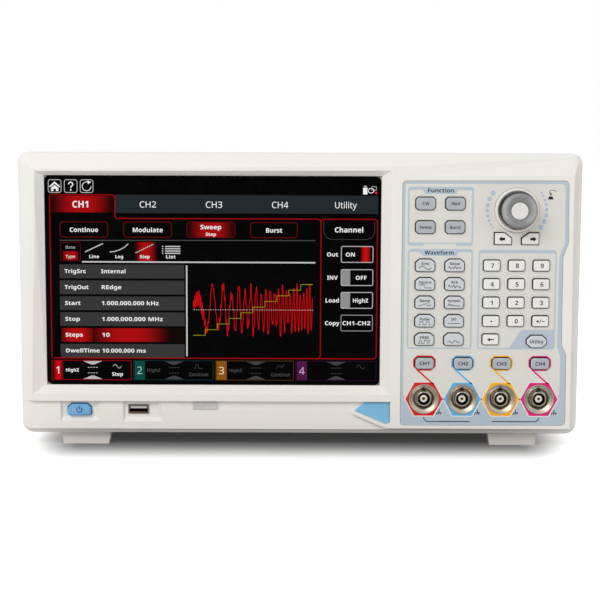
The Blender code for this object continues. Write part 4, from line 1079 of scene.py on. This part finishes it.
plus_minus = [
    [(x - 2.7, z), (x - 0.9, z)], [(x - 1.8, z - 0.9), (x - 1.8, z + 0.9)],
    [(x - 0.4, z - 1.2), (x + 0.4, z + 1.2)], [(x + 1.0, z), (x + 2.8, z)],
]
stroke("sign_plus_minus", plus_minus, 0.55, KEY_FACE, word_ink, "key_sign")
print("wave pictures:", len(WAVES))

# %% [markdown]
# ## Power button sign, badge plate and accent
# The power sign is a ring with a gap and a bar in the gap. Left of the middle, the lower strip
# carries a small plate, kept bare. At its right end sits the sky-blue accent piece in its raised lip.

# %% Strip details
bx, bz = middle("power_button")
button_face = box_of("power_button")[0].y
turns = [math.radians(d) for d in range(38, 323, 12)]
ring = [(bx + 1.75 * math.sin(a), bz + 1.75 * math.cos(a)) for a in turns]
stroke("power_sign", [ring, [(bx, bz + 0.5), (bx, bz + 2.5)]], 0.5, button_face, word_ink, "power_button")
GROOVE = FRONT + 2.9
plate = rectangle(LEFT + 114.4, 25.0, LEFT + 131.0, 30.4)
flat("badge_plate", [rounded(plate, 0.6)], GROOVE + 0.1, badge_metal, thick=0.5)
accent = [
    (RIGHT - 148.2, 24.9), (RIGHT - 127.6, 16.15), (RIGHT - 125.2, 17.2), (RIGHT - 125.2, 30.5),
    (RIGHT - 141.4, 30.5),
]
flat("accent_plate", [rounded(accent, [0.3, 0.6, 0.8, 0.4, 0.4])], GROOVE + 0.1, sky_plate, thick=0.9)
port_low, port_high = box_of("usb_port")
tongue = rectangle(port_low.x + 1.1, port_high.z - 2.5, port_high.x - 1.1, port_high.z - 1.1)
flat("port_tongue", [rounded(tongue, 0.2)], port_low.y + 6.3, mat_rubber, thick=5.6)
sill = rectangle(port_low.x + 0.9, port_low.z + 0.7, port_high.x - 0.9, port_low.z + 1.3)
flat("port_sill", [sill], port_low.y + 1.2, brass, thick=0.9)
print("strip pieces: power_sign, badge_plate, accent_plate, port_tongue, port_sill")

# %% [markdown]
# ## Sockets
# The coarse CAD sockets stand in for turned parts, so finer ones replace them. A turned part is a
# half profile spun about its axis. We write the profile as (depth, radius) pairs, from the back round
# the cup's rim and in over the floor and the barrel, and spin it in 96 steps about its own origin.


# %% Spun parts
def spun(name, profile, x, y, z, finish, body="case", count=96):
    """A part turned about the Y axis through (x, z). profile is (depth, radius) pairs behind y."""
    work = bmesh.new()
    loops = []
    for depth, radius in profile:
        if radius == 0:
            loops.append([work.verts.new((0, depth * MM, 0))] * count)
            continue
        turns = [math.tau * k / count for k in range(count)]
        spots = [(radius * MM * math.cos(a), depth * MM, radius * MM * math.sin(a)) for a in turns]
        loops.append([work.verts.new(spot) for spot in spots])
    for near, far in zip(loops, loops[1:]):
        for k in range(count):
            quad = [near[k], far[k], far[(k + 1) % count], near[(k + 1) % count]]
            quad = [vert for index, vert in enumerate(quad) if vert not in quad[:index]]
            if len(quad) > 2:
                work.faces.new(quad)
    bmesh.ops.recalc_face_normals(work, faces=work.faces)
    mesh = bpy.data.meshes.new(name)
    work.to_mesh(mesh)
    work.free()
    mesh.materials.append(finish)
    for face in mesh.polygons:
        face.use_smooth = True
    mesh.set_sharp_from_angle(angle=math.radians(32))
    piece = new_object(name, mesh)
    piece.location = (x * MM, y * MM, z * MM)
    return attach(piece, body)


shell_profile = [
    (27.0, 0.0), (27.0, 0.9), (23.0, 0.9), (23.0, 5.4), (11.0, 5.4), (11.0, CUP), (0.25, CUP),
    (0.05, CUP - 0.12), (0.0, CUP - 0.4), (0.2, CUP - 0.7), (0.7, CUP - 1.1), (1.2, CUP - 1.9),
    (1.7, CUP - 2.8), (2.3, CUP - 3.5), (3.6, CUP - 4.0), (4.6, 5.6), (4.6, 5.1), (1.7, 5.02),
    (1.5, 4.85), (1.3, 5.02), (0.45, 5.0), (0.12, 4.85), (0.05, 4.6), (0.12, 4.3), (0.5, 4.1),
    (7.4, 3.95), (7.4, 0.0),
]
bore_profile = [(7.2, 0.0), (7.2, 3.9), (0.9, 3.98), (0.9, 3.9), (7.1, 3.8), (7.1, 0.0)]
insulator_profile = [
    (7.3, 0.0), (7.3, 2.4), (1.9, 2.4), (1.6, 2.25), (1.5, 2.0), (1.5, 1.15), (2.6, 1.0), (6.9, 1.0),
    (6.9, 0.0),
]
rim_profile = [(0.95, 4.6), (0.0, 4.55), (0.0, 4.75), (0.12, 4.95), (0.5, 5.12), (0.95, 5.14), (0.95, 4.6)]
pin_profile = [(6.95, 0.0), (6.95, 0.92), (2.2, 0.92), (2.0, 0.75), (2.1, 0.4), (6.5, 0.35), (6.5, 0.0)]
for index, (x, z) in enumerate(sockets):
    number = index + 1
    piece = spun("socket_shell_%d" % number, shell_profile, x, FRONT, z, nickel)
    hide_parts("bnc_ch%d" % number)
    spun("socket_rim_%d" % number, rim_profile, x, FRONT, z, rim_metal)
    spun("socket_bore_%d" % number, bore_profile, x, FRONT, z, painted_shade_metal)
    spun("socket_insulator_%d" % number, insulator_profile, x, FRONT, z, insulator)
    spun("socket_pin_%d" % number, pin_profile, x, FRONT, z, brass)
print("sockets:", len(sockets), "each of five turned parts")

# %% [markdown]
# ## Bayonet lugs
# Two small round studs stand out of the barrel at the top and bottom, where a plug's collar locks on.
# Each is a spun stud turned upright.

# %% Lugs
stud_profile = [(0.0, 0.0), (0.0, 1.2), (1.45, 1.2), (1.6, 1.05), (1.6, 0.0)]
for index, (x, z) in enumerate(sockets):
    for end, side in (("top", 1), ("bottom", -1)):
        name = "lug_%s_%d" % (end, index + 1)
        # the lugs take the dark painted-shade metal, standing in for the shade round the barrel
        stud = spun(name, stud_profile, x, FRONT + 1.7, z + side * 4.6, painted_shade_metal, count=24)
        stud.rotation_euler = (math.radians(90 * side), 0, 0)
print("lugs:", 2 * len(sockets))

# %% [markdown]
# ## Knob
# The knob is a short moulded cylinder with a dished front and a pale disc in the middle. Fine flutes
# round its side help the fingers. A spun profile gives the body, and a ripple on the side's radius
# gives the flutes, which is easier than cutting forty-eight grooves.

# %% Knob
knob_low, knob_high = box_of("knob")
KNOB_TRIM = 0.65
KNOB = (knob_high.x - knob_low.x) / 2 - KNOB_TRIM
FLUTES, FLUTE_DEPTH = 48, 0.012
reach = knob_high.y - knob_low.y
knob_profile = [
    (reach, 0.0), (reach, 10.8), (reach - 0.15, 11.5), (reach - 0.7, KNOB - 0.05), (3.0, KNOB - 0.25),
    (1.5, KNOB - 0.45), (0.7, KNOB - 0.75), (0.25, KNOB - 1.2), (0.02, KNOB - 1.8), (0.05, KNOB - 2.3),
    (0.45, KNOB - 3.0), (1.0, KNOB - 4.3), (1.35, KNOB - 5.4), (1.5, 6.3), (1.5, 5.75), (1.7, 5.7),
    (1.9, 5.6), (1.9, 0.0),
]
knob = spun("knob_body", knob_profile, knob_x, knob_low.y, knob_z, knob_plastic, "knob", 192)
for vertex in knob.data.vertices:
    radius = math.hypot(vertex.co.x, vertex.co.z)
    if radius > (KNOB - 0.5) * MM and 1.4 * MM < vertex.co.y < (reach - 0.6) * MM:
        angle = math.atan2(vertex.co.z, vertex.co.x)
        shrink = 1 - FLUTE_DEPTH * (0.5 + 0.5 * math.cos(FLUTES * angle))
        vertex.co.x, vertex.co.z = vertex.co.x * shrink, vertex.co.z * shrink
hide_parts("knob")
cap_profile = [
    (1.95, 0.0), (1.95, 5.5), (1.05, 5.5), (0.9, 5.4), (0.82, 5.2), (0.8, 4.6), (0.95, 2.0), (1.0, 0.0),
]
spun("knob_cap", cap_profile, knob_x, knob_low.y, knob_z, knob_cap_plastic, "knob")
print("knob: %.1f mm across, %.1f mm deep" % (2 * KNOB, reach))

# %% [markdown]
# ## The screen
# Everything lit on the screen is a thin shape or a word a few hundredths of a millimetre in front of
# the glass. Places are given as (across, down) in millimetres from the glass's upper left corner, as
# a screen designer would, and one helper turns them into the object's (x, z).

# %% Screen helpers
GLASS = glass_low.y
LAYER = 0.06


def depth_of(layer):
    return GLASS - LAYER * layer


def at(u, v):
    return glass_low.x + u, glass_high.z - v


def panel(name, u0, v0, u1, v1, colour, layer=0, radius=0.0):
    (x0, z1), (x1, z0) = at(u0, v0), at(u1, v1)
    outline = rectangle(x0, z0, x1, z1)
    return flat(name, [rounded(outline, radius) if radius else outline], depth_of(layer), LIT[colour])


def frame_of(name, u0, v0, u1, v1, colour, line=0.5, radius=1.5, layer=1):
    (x0, z1), (x1, z0) = at(u0, v0), at(u1, v1)
    outline = rectangle(x0, z0, x1, z1)
    shapes = [rounded(outline, radius), rounded(scaled(outline, -line), max(radius - line, 0.2))]
    return flat(name, shapes, depth_of(layer), LIT[colour])


def label(name, text, u, v, tall, colour="white", width=None, bold=0.04, align="CENTER", layer=2):
    word(name, text, at(u, v), tall, depth_of(layer), LIT[colour], "case", width, bold, align)


def draw(name, paths, width, colour, layer=2):
    stroke(name, [[at(u, v) for u, v in path] for path in paths], width, depth_of(layer), LIT[colour])


print("screen: %.1f x %.1f mm" % (glass_high.x - glass_low.x, glass_high.z - glass_low.z))

# %% [markdown]
# ## Tabs and frames of the screen
# The chosen channel's tab glows red, dark at its sides. Its outline runs on round the whole page, so
# the tab and the page read as one sheet.

# %% Tabs
LIT["tab_red"] = glowing("lit_tab_red", "#a8080c", "#1c0203", 21.0)
panel("screen_tab_one", 3.6, 13.2, 45.2, 24.0, "tab_red", 1)
panel("screen_tab_bar", 45.8, 12.4, 218.4, 24.4, "slate", 0)
page_line = [
    (3.2, 120.3), (3.2, 14.2), (3.7, 12.9), (5.0, 12.5), (44.0, 12.5), (45.4, 13.0), (45.9, 14.4),
    (45.9, 26.4), (46.4, 27.5), (47.5, 27.9), (179.0, 27.9), (180.6, 28.6), (181.0, 30.0), (181.0, 118.5),
    (180.3, 120.2),
]
draw("screen_page_line", [page_line], 0.75, "red", 1)
side_line = [
    (181.0, 30.0), (181.5, 28.5), (183.0, 27.9), (216.2, 27.9), (217.6, 28.5), (218.0, 30.0), (218.0, 118.6),
    (217.4, 120.0), (216.0, 120.4), (4.5, 120.4),
]
draw("screen_side_line", [side_line], 0.75, "red", 1)
for name, text, u, tall, bold in (
    ("one", "CH1", 23.6, 4.3, 0.16), ("two", "CH2", 67.5, 4.0, 0.04), ("three", "CH3", 110.8, 4.1, 0.04),
    ("four", "CH4", 154.0, 4.1, 0.04), ("utility", "Utility", 197.0, 4.1, 0.02),
):
    width = {"CH1": 10.3, "Utility": 14.2}.get(text, 10.7)
    label("screen_tab_text_" + name, text, u, 18.7, tall, "white", width, bold)
print("tabs: 5")

# %% Top icons
for name, u in (("home", 2.3), ("help", 12.8), ("recall", 23.2)):
    frame_of("screen_icon_" + name, u, 2.5, u + 8.8, 11.3, "soft", 0.45, 1.6)
roof = [at(u, v) for u, v in ((3.1, 7.1), (6.7, 3.9), (10.3, 7.1), (9.6, 7.7), (6.7, 5.2), (3.8, 7.7))]
house = [
    (4.3, 8.2), (6.7, 6.1), (9.1, 8.2), (9.1, 10.2), (7.5, 10.2), (7.5, 8.6), (5.9, 8.6), (5.9, 10.2),
    (4.3, 10.2),
]
walls = [at(u, v) for u, v in house]
flat("screen_home_roof", [roof[::-1]], depth_of(1), LIT["white"])
flat("screen_home_walls", [walls[::-1]], depth_of(1), LIT["white"])
hook = [
    (15.8, 5.7), (16.1, 4.8), (17.2, 4.3), (18.3, 4.8), (18.6, 5.8), (18.1, 6.7), (17.3, 7.3), (17.2, 8.1),
]
draw("screen_help_hook", [hook], 0.75, "white")
flat("screen_help_dot", [circle(*at(17.2, 9.4), 0.5, 16)], depth_of(1), LIT["white"])
draw("screen_recall_arc", [arc_through(27.6, 7.0, 2.9, -2.9, range(60, 370, 15))], 0.4, "white")
tip = [at(u, v) for u, v in ((28.2, 3.1), (30.6, 4.2), (28.4, 5.6))]
flat("screen_recall_tip", [tip], depth_of(1), LIT["white"])
panel("screen_stick_body", 208.4, 7.2, 211.2, 11.6, "white", 1)
panel("screen_stick_plug", 208.9, 6.0, 210.7, 6.8, "soft", 1)
frame_of("screen_net_back", 214.0, 6.3, 217.2, 9.0, "soft", 0.35, 0.4)
draw("screen_net_ring", [arc_through(213.6, 9.2, 1.9, 1.5, range(0, 361, 20))], 0.45, "white")
flat("screen_net_dot", [circle(*at(216.9, 10.6), 0.8, 20)], depth_of(2), LIT["dot_red"])
print("icons: 5")

# %% [markdown]
# ## Mode buttons and sweep types
# The row of modes and the row of sweep types use the same few helpers. The chosen one of each row is
# filled with the shaded red, and a material with a narrower half width shades a narrower field.

# %% Mode and type rows
LIT["button_red"] = glowing("lit_button_red", "#a8080c", "#200203", 15.5)
LIT["type_red"] = glowing("lit_type_red", "#a8080c", "#160102", 7.6)
for name, text, u0, u1, width in (
    ("continue", "Continue", 9.5, 41.3, 18.6), ("modulate", "Modulate", 51.2, 83.2, 19.6),
    ("burst", "Burst", 134.5, 165.7, 10.6),
):
    frame_of("screen_mode_" + name, u0, 30.0, u1, 40.4, "dark_red", 0.5, 2.2)
    label("screen_mode_text_" + name, text, (u0 + u1) / 2, 35.4, 2.9, "white", width, 0.14)
panel("screen_mode_sweep", 93.0, 30.0, 124.6, 40.3, "button_red", 1, 2.2)
frame_of("screen_mode_sweep_edge", 92.8, 29.9, 124.8, 40.4, "dark_red", 0.4, 2.2, 2)
label("screen_mode_text_sweep", "Sweep", 108.7, 33.4, 2.8, "white", 13.6, 0.12)
label("screen_mode_text_step", "Step", 108.7, 38.1, 2.0, "white", 6.8, 0.08)
draw("screen_grey_line", [[(9.3, 42.4), (177.3, 42.0)]], 0.55, "line", 1)
frame_of("screen_toggle_edge", 9.8, 43.4, 23.0, 56.0, "dark_red", 0.4, 0.8)
panel("screen_toggle_fill", 11.4, 49.6, 21.4, 55.2, "type_red", 1)
label("screen_toggle_base", "Base", 16.4, 46.9, 1.9, "soft", 6.2, 0.05)
label("screen_toggle_type", "Type", 16.4, 53.0, 1.9, "white", 6.2, 0.05)
panel("screen_type_step", 58.6, 43.4, 73.4, 55.8, "type_red", 1)
draw("screen_type_line", [[(26.0, 50.0), (37.8, 44.4)]], 0.65, "bright_line")
log_curve = [(42.2, 50.0), (45.6, 49.6), (49.2, 48.3), (52.0, 46.8), (54.4, 44.6)]
draw("screen_type_log", [log_curve], 0.6, "bright_line")
little_steps = []
for k in range(9):
    little_steps += [(58.9 + 1.35 * k, 50.3 - 0.66 * k), (60.25 + 1.35 * k, 50.3 - 0.66 * k)]
draw("screen_type_stairs", [little_steps], 0.4, "bright_line")
for index in range(4):
    v = 46.2 + 1.5 * index
    dash_and_line = [[(76.6, v), (77.4, v)], [(78.6, v), (88.6, v)]]
    draw("screen_type_list_%d" % index, dash_and_line, 0.75, "bright_line")
for text, u, width in (("Line", 31.9, 6.4), ("Log", 48.4, 5.0), ("Step", 65.2, 6.4), ("List", 82.2, 6.2)):
    label("screen_type_text_" + text.lower(), text, u, 53.0, 2.1, "white", width, 0.12)
draw("screen_rule", [[(24.0, 56.5), (177.3, 56.6)]], 0.95, "bright_line", 1)
draw("screen_wall", [[(92.7, 58.6), (92.6, 119.0)]], 0.95, "bright_line", 1)
print("modes: 4, sweep types: 4")

# %% Parameter rows
LIT["row_red_short"] = glowing("lit_row_red_short", "#b0080c", "#180203", 14.0)
LIT["row_red_long"] = glowing("lit_row_red_long", "#a8080c", "#0c0101", 29.0, -7.0)
PARAMETERS = [
    ("TrigSrc", 14.1, "Internal", 16.0), ("TrigOut", 15.7, "REdge", 12.9),
    ("Start", 10.2, "1.000,000,000 kHz", 37.6), ("Stop", 9.6, "1.000,000,000 MHz", 40.2),
    ("Steps", 11.4, "10", 5.0), ("DwellTime", 22.2, "10.000,000 ms", 28.8),
]
FIRST_ROW, ROW_PITCH, ROW_HEIGHT = 58.3, 10.55, 9.1
for index, (name, name_width, value, value_width) in enumerate(PARAMETERS):
    v0 = FIRST_ROW + ROW_PITCH * index
    tag = "row_%d" % (index + 1)
    if name == "Steps":
        panel("screen_" + tag + "_name", 9.6, v0, 30.6, v0 + ROW_HEIGHT, "row_red_short")
        panel("screen_" + tag + "_value", 31.0, v0, 91.0, v0 + ROW_HEIGHT, "row_red_long")
    else:
        panel("screen_" + tag, 9.0, v0, 91.1, v0 + ROW_HEIGHT, "row", 0, 0.5)
    label("screen_" + tag + "_text", name, 12.2, v0 + 4.4, 2.6, "white", name_width, 0.12, "LEFT")
    label("screen_" + tag + "_number", value, 36.3, v0 + 4.4, 2.6, "white", value_width, 0.12, "LEFT")
print("parameter rows:", len(PARAMETERS))

# %% [markdown]
# ## The sweep picture
# A stepped sweep starts slow and ends fast. The red trace is a sine whose phase grows with the square
# of the distance. A display shows such a trace with ragged peaks, so a few fixed sines of other speeds
# vary its height. The olive stairs show the ten steps, and a row of dots marks zero.

# %% Sweep picture
PICTURE_LEFT, PICTURE_WIDTH = 96.9, 78.6
ZERO_LINE, HALF_HEIGHT = 88.0, 16.6
POINTS = 820
trace_red = []
for k in range(POINTS + 1):
    t = k / POINTS
    phase = math.tau * (4.0 * t + 18.0 * t * t + 0.1)
    tall = (0.25 + 0.75 * min(1.0, 9.0 * t)) * (0.82 + 0.18 * math.sin(53.0 * t) + 0.1 * math.sin(131.0 * t))
    ripple = (0.34 - 0.2 * t) * math.sin(math.tau * 83.0 * t) * (0.6 + 0.4 * math.sin(29.0 * t))
    height = max(-1.05, min(1.05, tall * math.sin(phase) + ripple))
    trace_red.append((PICTURE_LEFT + PICTURE_WIDTH * t, ZERO_LINE - HALF_HEIGHT * height))
draw("screen_sweep_trace", [trace_red], 0.36, "wave_red", 2)
stairs = []
TREAD, RISE, LOWEST_STEP = 7.88, 3.78, 105.0
for k in range(10):
    level = LOWEST_STEP - RISE * k
    stairs += [(PICTURE_LEFT + TREAD * k, level), (PICTURE_LEFT + TREAD * (k + 1), level)]
draw("screen_sweep_stairs", [stairs], 0.5, "olive", 3)
dashes = [[(96.9 + 1.6 * k, ZERO_LINE), (97.8 + 1.6 * k, ZERO_LINE)] for k in range(50)]
draw("screen_sweep_zero", dashes, 0.3, "soft", 3)
print("sweep points:", len(trace_red))

# %% Channel page at the right
cup_line = [
    (182.8, 29.4), (182.8, 36.4), (184.2, 39.6), (187.6, 41.2), (211.4, 41.2), (214.8, 39.6), (216.2, 36.4),
    (216.2, 29.4),
]
draw("screen_channel_tab", [cup_line], 0.35, "dim", 1)
label("screen_channel_title", "Channel", 199.4, 34.9, 3.3, "white", 18.6, 0.14)
SWITCHES = [
    ("out", "Out", 7.3, 45.5, "ON", 6.0, 200.4), ("inv", "INV", 7.0, 60.8, "OFF", 7.2, 207.6),
    ("load", "Load", 8.8, 75.9, "HighZ", 10.0, 207.2), ("copy", "Copy", 9.6, 91.0, "CH1-CH2", 18.4, 204.6),
]
for name, text, width, v0, state, state_width, u in SWITCHES:
    edge = "slider" if name == "copy" else "soft"
    frame_of("screen_%s_box" % name, 194.2, v0, 215.5, v0 + 11.0, edge, 0.5, 1.1)
    label("screen_%s_text" % name, text, 188.6, v0 + 5.6, 2.6, "white", width, 0.1)
    label("screen_%s_state" % name, state, u, v0 + 5.6, 2.6, "white", state_width, 0.1, layer=3)
LIT["knob_red"] = glowing("lit_slider_red", "#c0080c", "#3a0304", 3.6)
panel("screen_out_slider", 207.2, 46.0, 213.8, 56.0, "knob_red", 1)
panel("screen_inv_slider", 194.8, 61.3, 200.4, 71.3, "slider", 1)
panel("screen_load_slider", 194.8, 76.4, 200.4, 86.4, "slider", 1)
print("switches:", len(SWITCHES))

# %% [markdown]
# ## Channel bar at the foot of the screen
# Four cells repeat one layout in four colours, so a loop makes them. The three that aren't chosen are
# dimmed. Each has a number tile, a chevron above and below a pair of dashed values, and a wave.

# %% Channel bar
LIT["tile_red"] = glowing("lit_tile_red", "#c4080c", "#4a0406", 3.4)
LIT["teal_edge"] = glowing("lit_teal_edge", "#06302e")
LIT["amber_edge"] = glowing("lit_amber_edge", "#4a2c08")
LIT["purple_edge"] = glowing("lit_purple_edge", "#2e0a28")
CELLS = [
    (2.9, 55.8, "red", "tile_red", "white"), (56.8, 110.1, "teal_edge", "teal", "teal_text"),
    (111.1, 163.4, "amber_edge", "amber", "amber_text"),
    (164.4, 218.2, "purple_edge", "purple", "purple_text"),
]
one_turn = [(k / 12, math.sin(math.tau * k / 12)) for k in range(13)]
CELL_WAVES = [
    one_turn,
    [(0, -1), (0.15, -1), (0.2, 1), (0.45, 1), (0.5, -1), (1, -1)],
    [(0, -1), (0.3, 1), (0.35, -0.4), (0.5, 0.6), (0.6, -0.6), (0.75, 0.4), (1, 1)],
    one_turn,
]
for index, (u0, u1, edge, tile, digit) in enumerate(CELLS):
    tag = "screen_cell_%d" % (index + 1)
    words = "white" if index == 0 else "dim"
    marks = "soft" if index == 0 else "dim"
    frame_of(tag + "_edge", u0, 121.8, u1, 135.2, edge, 0.45, 0.4)
    panel(tag + "_tile", u0 + 1.0, 122.3, u0 + 7.8, 134.8, tile, 1)
    label(tag + "_number", str(index + 1), u0 + 4.4, 128.6, 4.9, digit, None, 0.06)
    if index < 3:
        label(tag + "_load", "HighZ", u0 + 13.6, 128.5, 2.1, words, 8.6, 0.08)
    for end, v, way in (("top", 122.5, 1), ("foot", 134.5, -1)):
        chevron = [(u0 + 20.9, v), (u0 + 33.5, v), (u0 + 28.1, v + way * 2.3), (u0 + 26.3, v + way * 2.3)]
        shape = [at(u, w) for u, w in chevron]
        flat(tag + "_chevron_" + end, [shape if way < 0 else shape[::-1]], depth_of(1), LIT[marks])
    for row, v in (("upper", 126.7), ("lower", 130.4)):
        dashes = [[(u0 + 23.9 + 1.8 * k, v), (u0 + 25.1 + 1.8 * k, v)] for k in range(4)]
        draw(tag + "_dashes_" + row, dashes, 0.4, marks)
    wave = [(u0 + 40.6 + 5.6 * a, 125.9 - 1.3 * b) for a, b in CELL_WAVES[index]]
    draw(tag + "_wave", [wave], 0.35, marks)
    if index < 3:
        text, width = (("Step", 7.2), ("Continue", 12.6), ("Continue", 12.6))[index]
        label(tag + "_mode", text, u0 + 43.6, 131.2, 2.3, words, width, 0.08)
print("cells:", len(CELLS))

# %% [markdown]
# ## Fit the words
# Now all the words exist, one update measures them, and each is squeezed to its own width.

# %% Fit the words
bpy.context.view_layer.update()
for piece, width in to_fit:
    piece.scale.x = width * MM / max(piece.dimensions.x, 1e-6)
print("words fitted:", len(to_fit))

# %% [markdown]
# ## Floor
# The object stands on a plain pale floor. A little light added for the camera alone lifts the open
# floor to white, so it melts into the background. Near the object's footprint the lift fades out and
# the floor's colour is darkened: a painted contact shadow on top of the lamps' own. How far a point
# lies outside the footprint is worked out for each axis and joined by Pythagoras, which gives the
# painted shadow rounded ends.

# %% Floor
floor_mesh = bpy.data.meshes.new("floor")
floor_mesh.from_pydata([(-9, -9, 0), (9, -9, 0), (9, 9, 0), (-9, 9, 0)], [], [(0, 1, 2, 3)])
floor = new_object("floor", floor_mesh)
floor_white, tree, shader = new_material("floor_white")
floor_grey = (0.86, 0.86, 0.86, 1)
surface = use_group(tree, grain, Colour=floor_grey, Grain_Size=4.0, Shade_Drift=0.01, Roughness=0.9)
axes = own_axes(tree)
FOOTPRINT = ((0.145, 0.045), (0.045, 0.065))  # half size and fade in metres, across and then in depth
beyond = []
for axis, (half, fade) in zip(axes, FOOTPRINT):
    past = calculate(tree, "SUBTRACT", calculate(tree, "ABSOLUTE", axis, 0.0), half)
    beyond.append(calculate(tree, "DIVIDE", calculate(tree, "MAXIMUM", past, 0.0), fade))
squares = [calculate(tree, "MULTIPLY", part, part) for part in beyond]
far = calculate(tree, "SQRT", calculate(tree, "ADD", *squares), 0.0)
# painted shadow: the floor's colour darkens towards the object's footprint
shadow = ramp(tree, far, 0.0, 1.0, 0.7, 0.0)
shaded = blend_colour(tree, shadow, surface.outputs["Colour"], paint("#202020"))
tree.links.new(shaded, shader.inputs["Base Color"])
shader.inputs["Roughness"].default_value = 0.95
shader.inputs["Specular IOR Level"].default_value = 0.0
seen = tree.nodes.new("ShaderNodeLightPath").outputs["Is Camera Ray"]
shader.inputs["Emission Color"].default_value = (1, 1, 1, 1)
# less lift near the footprint deepens the painted shadow
lift = ramp(tree, far, 0.0, 1.1, 0.03, 0.75)
tree.links.new(calculate(tree, "MULTIPLY", seen, lift), shader.inputs["Emission Strength"])
floor_mesh.materials.append(floor_white)
print("floor: 18 m square")

# %% [markdown]
# ## Light
# A studio wraps a pale object in soft light. The world gives an even base. The key lamp is large and
# stands at the upper left in front, and a weaker fill lamp at the right keeps the shadows open. The
# camera and the mirrors see a white world, while the diffuse light from it is held back.

# %% World and lamps
world = bpy.data.worlds.new("studio")
bpy.context.scene.world = world
world.use_nodes = True
tree = world.node_tree
background = tree.nodes["Background"]
background.inputs["Color"].default_value = (1, 1, 1, 1)
path = tree.nodes.new("ShaderNodeLightPath").outputs
direct = calculate(tree, "MAXIMUM", path["Is Camera Ray"], path["Is Glossy Ray"])
direct = calculate(tree, "MAXIMUM", direct, path["Is Transmission Ray"])
strength = add_node(tree, "ShaderNodeMapRange", i0=direct, i1=0.0, i2=1.0, i3=0.48, i4=1.0).outputs[0]
tree.links.new(strength, background.inputs["Strength"])


def lamp(name, place, aim, size, power):
    data = bpy.data.lights.new(name, "AREA")
    data.shape = "RECTANGLE"
    data.size, data.size_y = size
    data.energy = power
    made = new_object(name, data)
    made.location = place
    made.rotation_euler = (Vector(aim) - Vector(place)).to_track_quat("-Z", "Y").to_euler()
    return made


lamp("key_lamp", (-1.1, -1.7, 1.5), aim=(0, 0, 0.08), size=(1.4, 1.0), power=27)
lamp("fill_lamp", (1.6, -1.5, 0.7), aim=(0, 0, 0.1), size=(1.2, 1.2), power=5)
lamp("top_lamp", (0.1, 0.6, 1.8), aim=(0, 0, 0.1), size=(1.6, 1.2), power=5)
bpy.context.scene.view_settings.view_transform = "Standard"
print("lamps: key, fill, top")
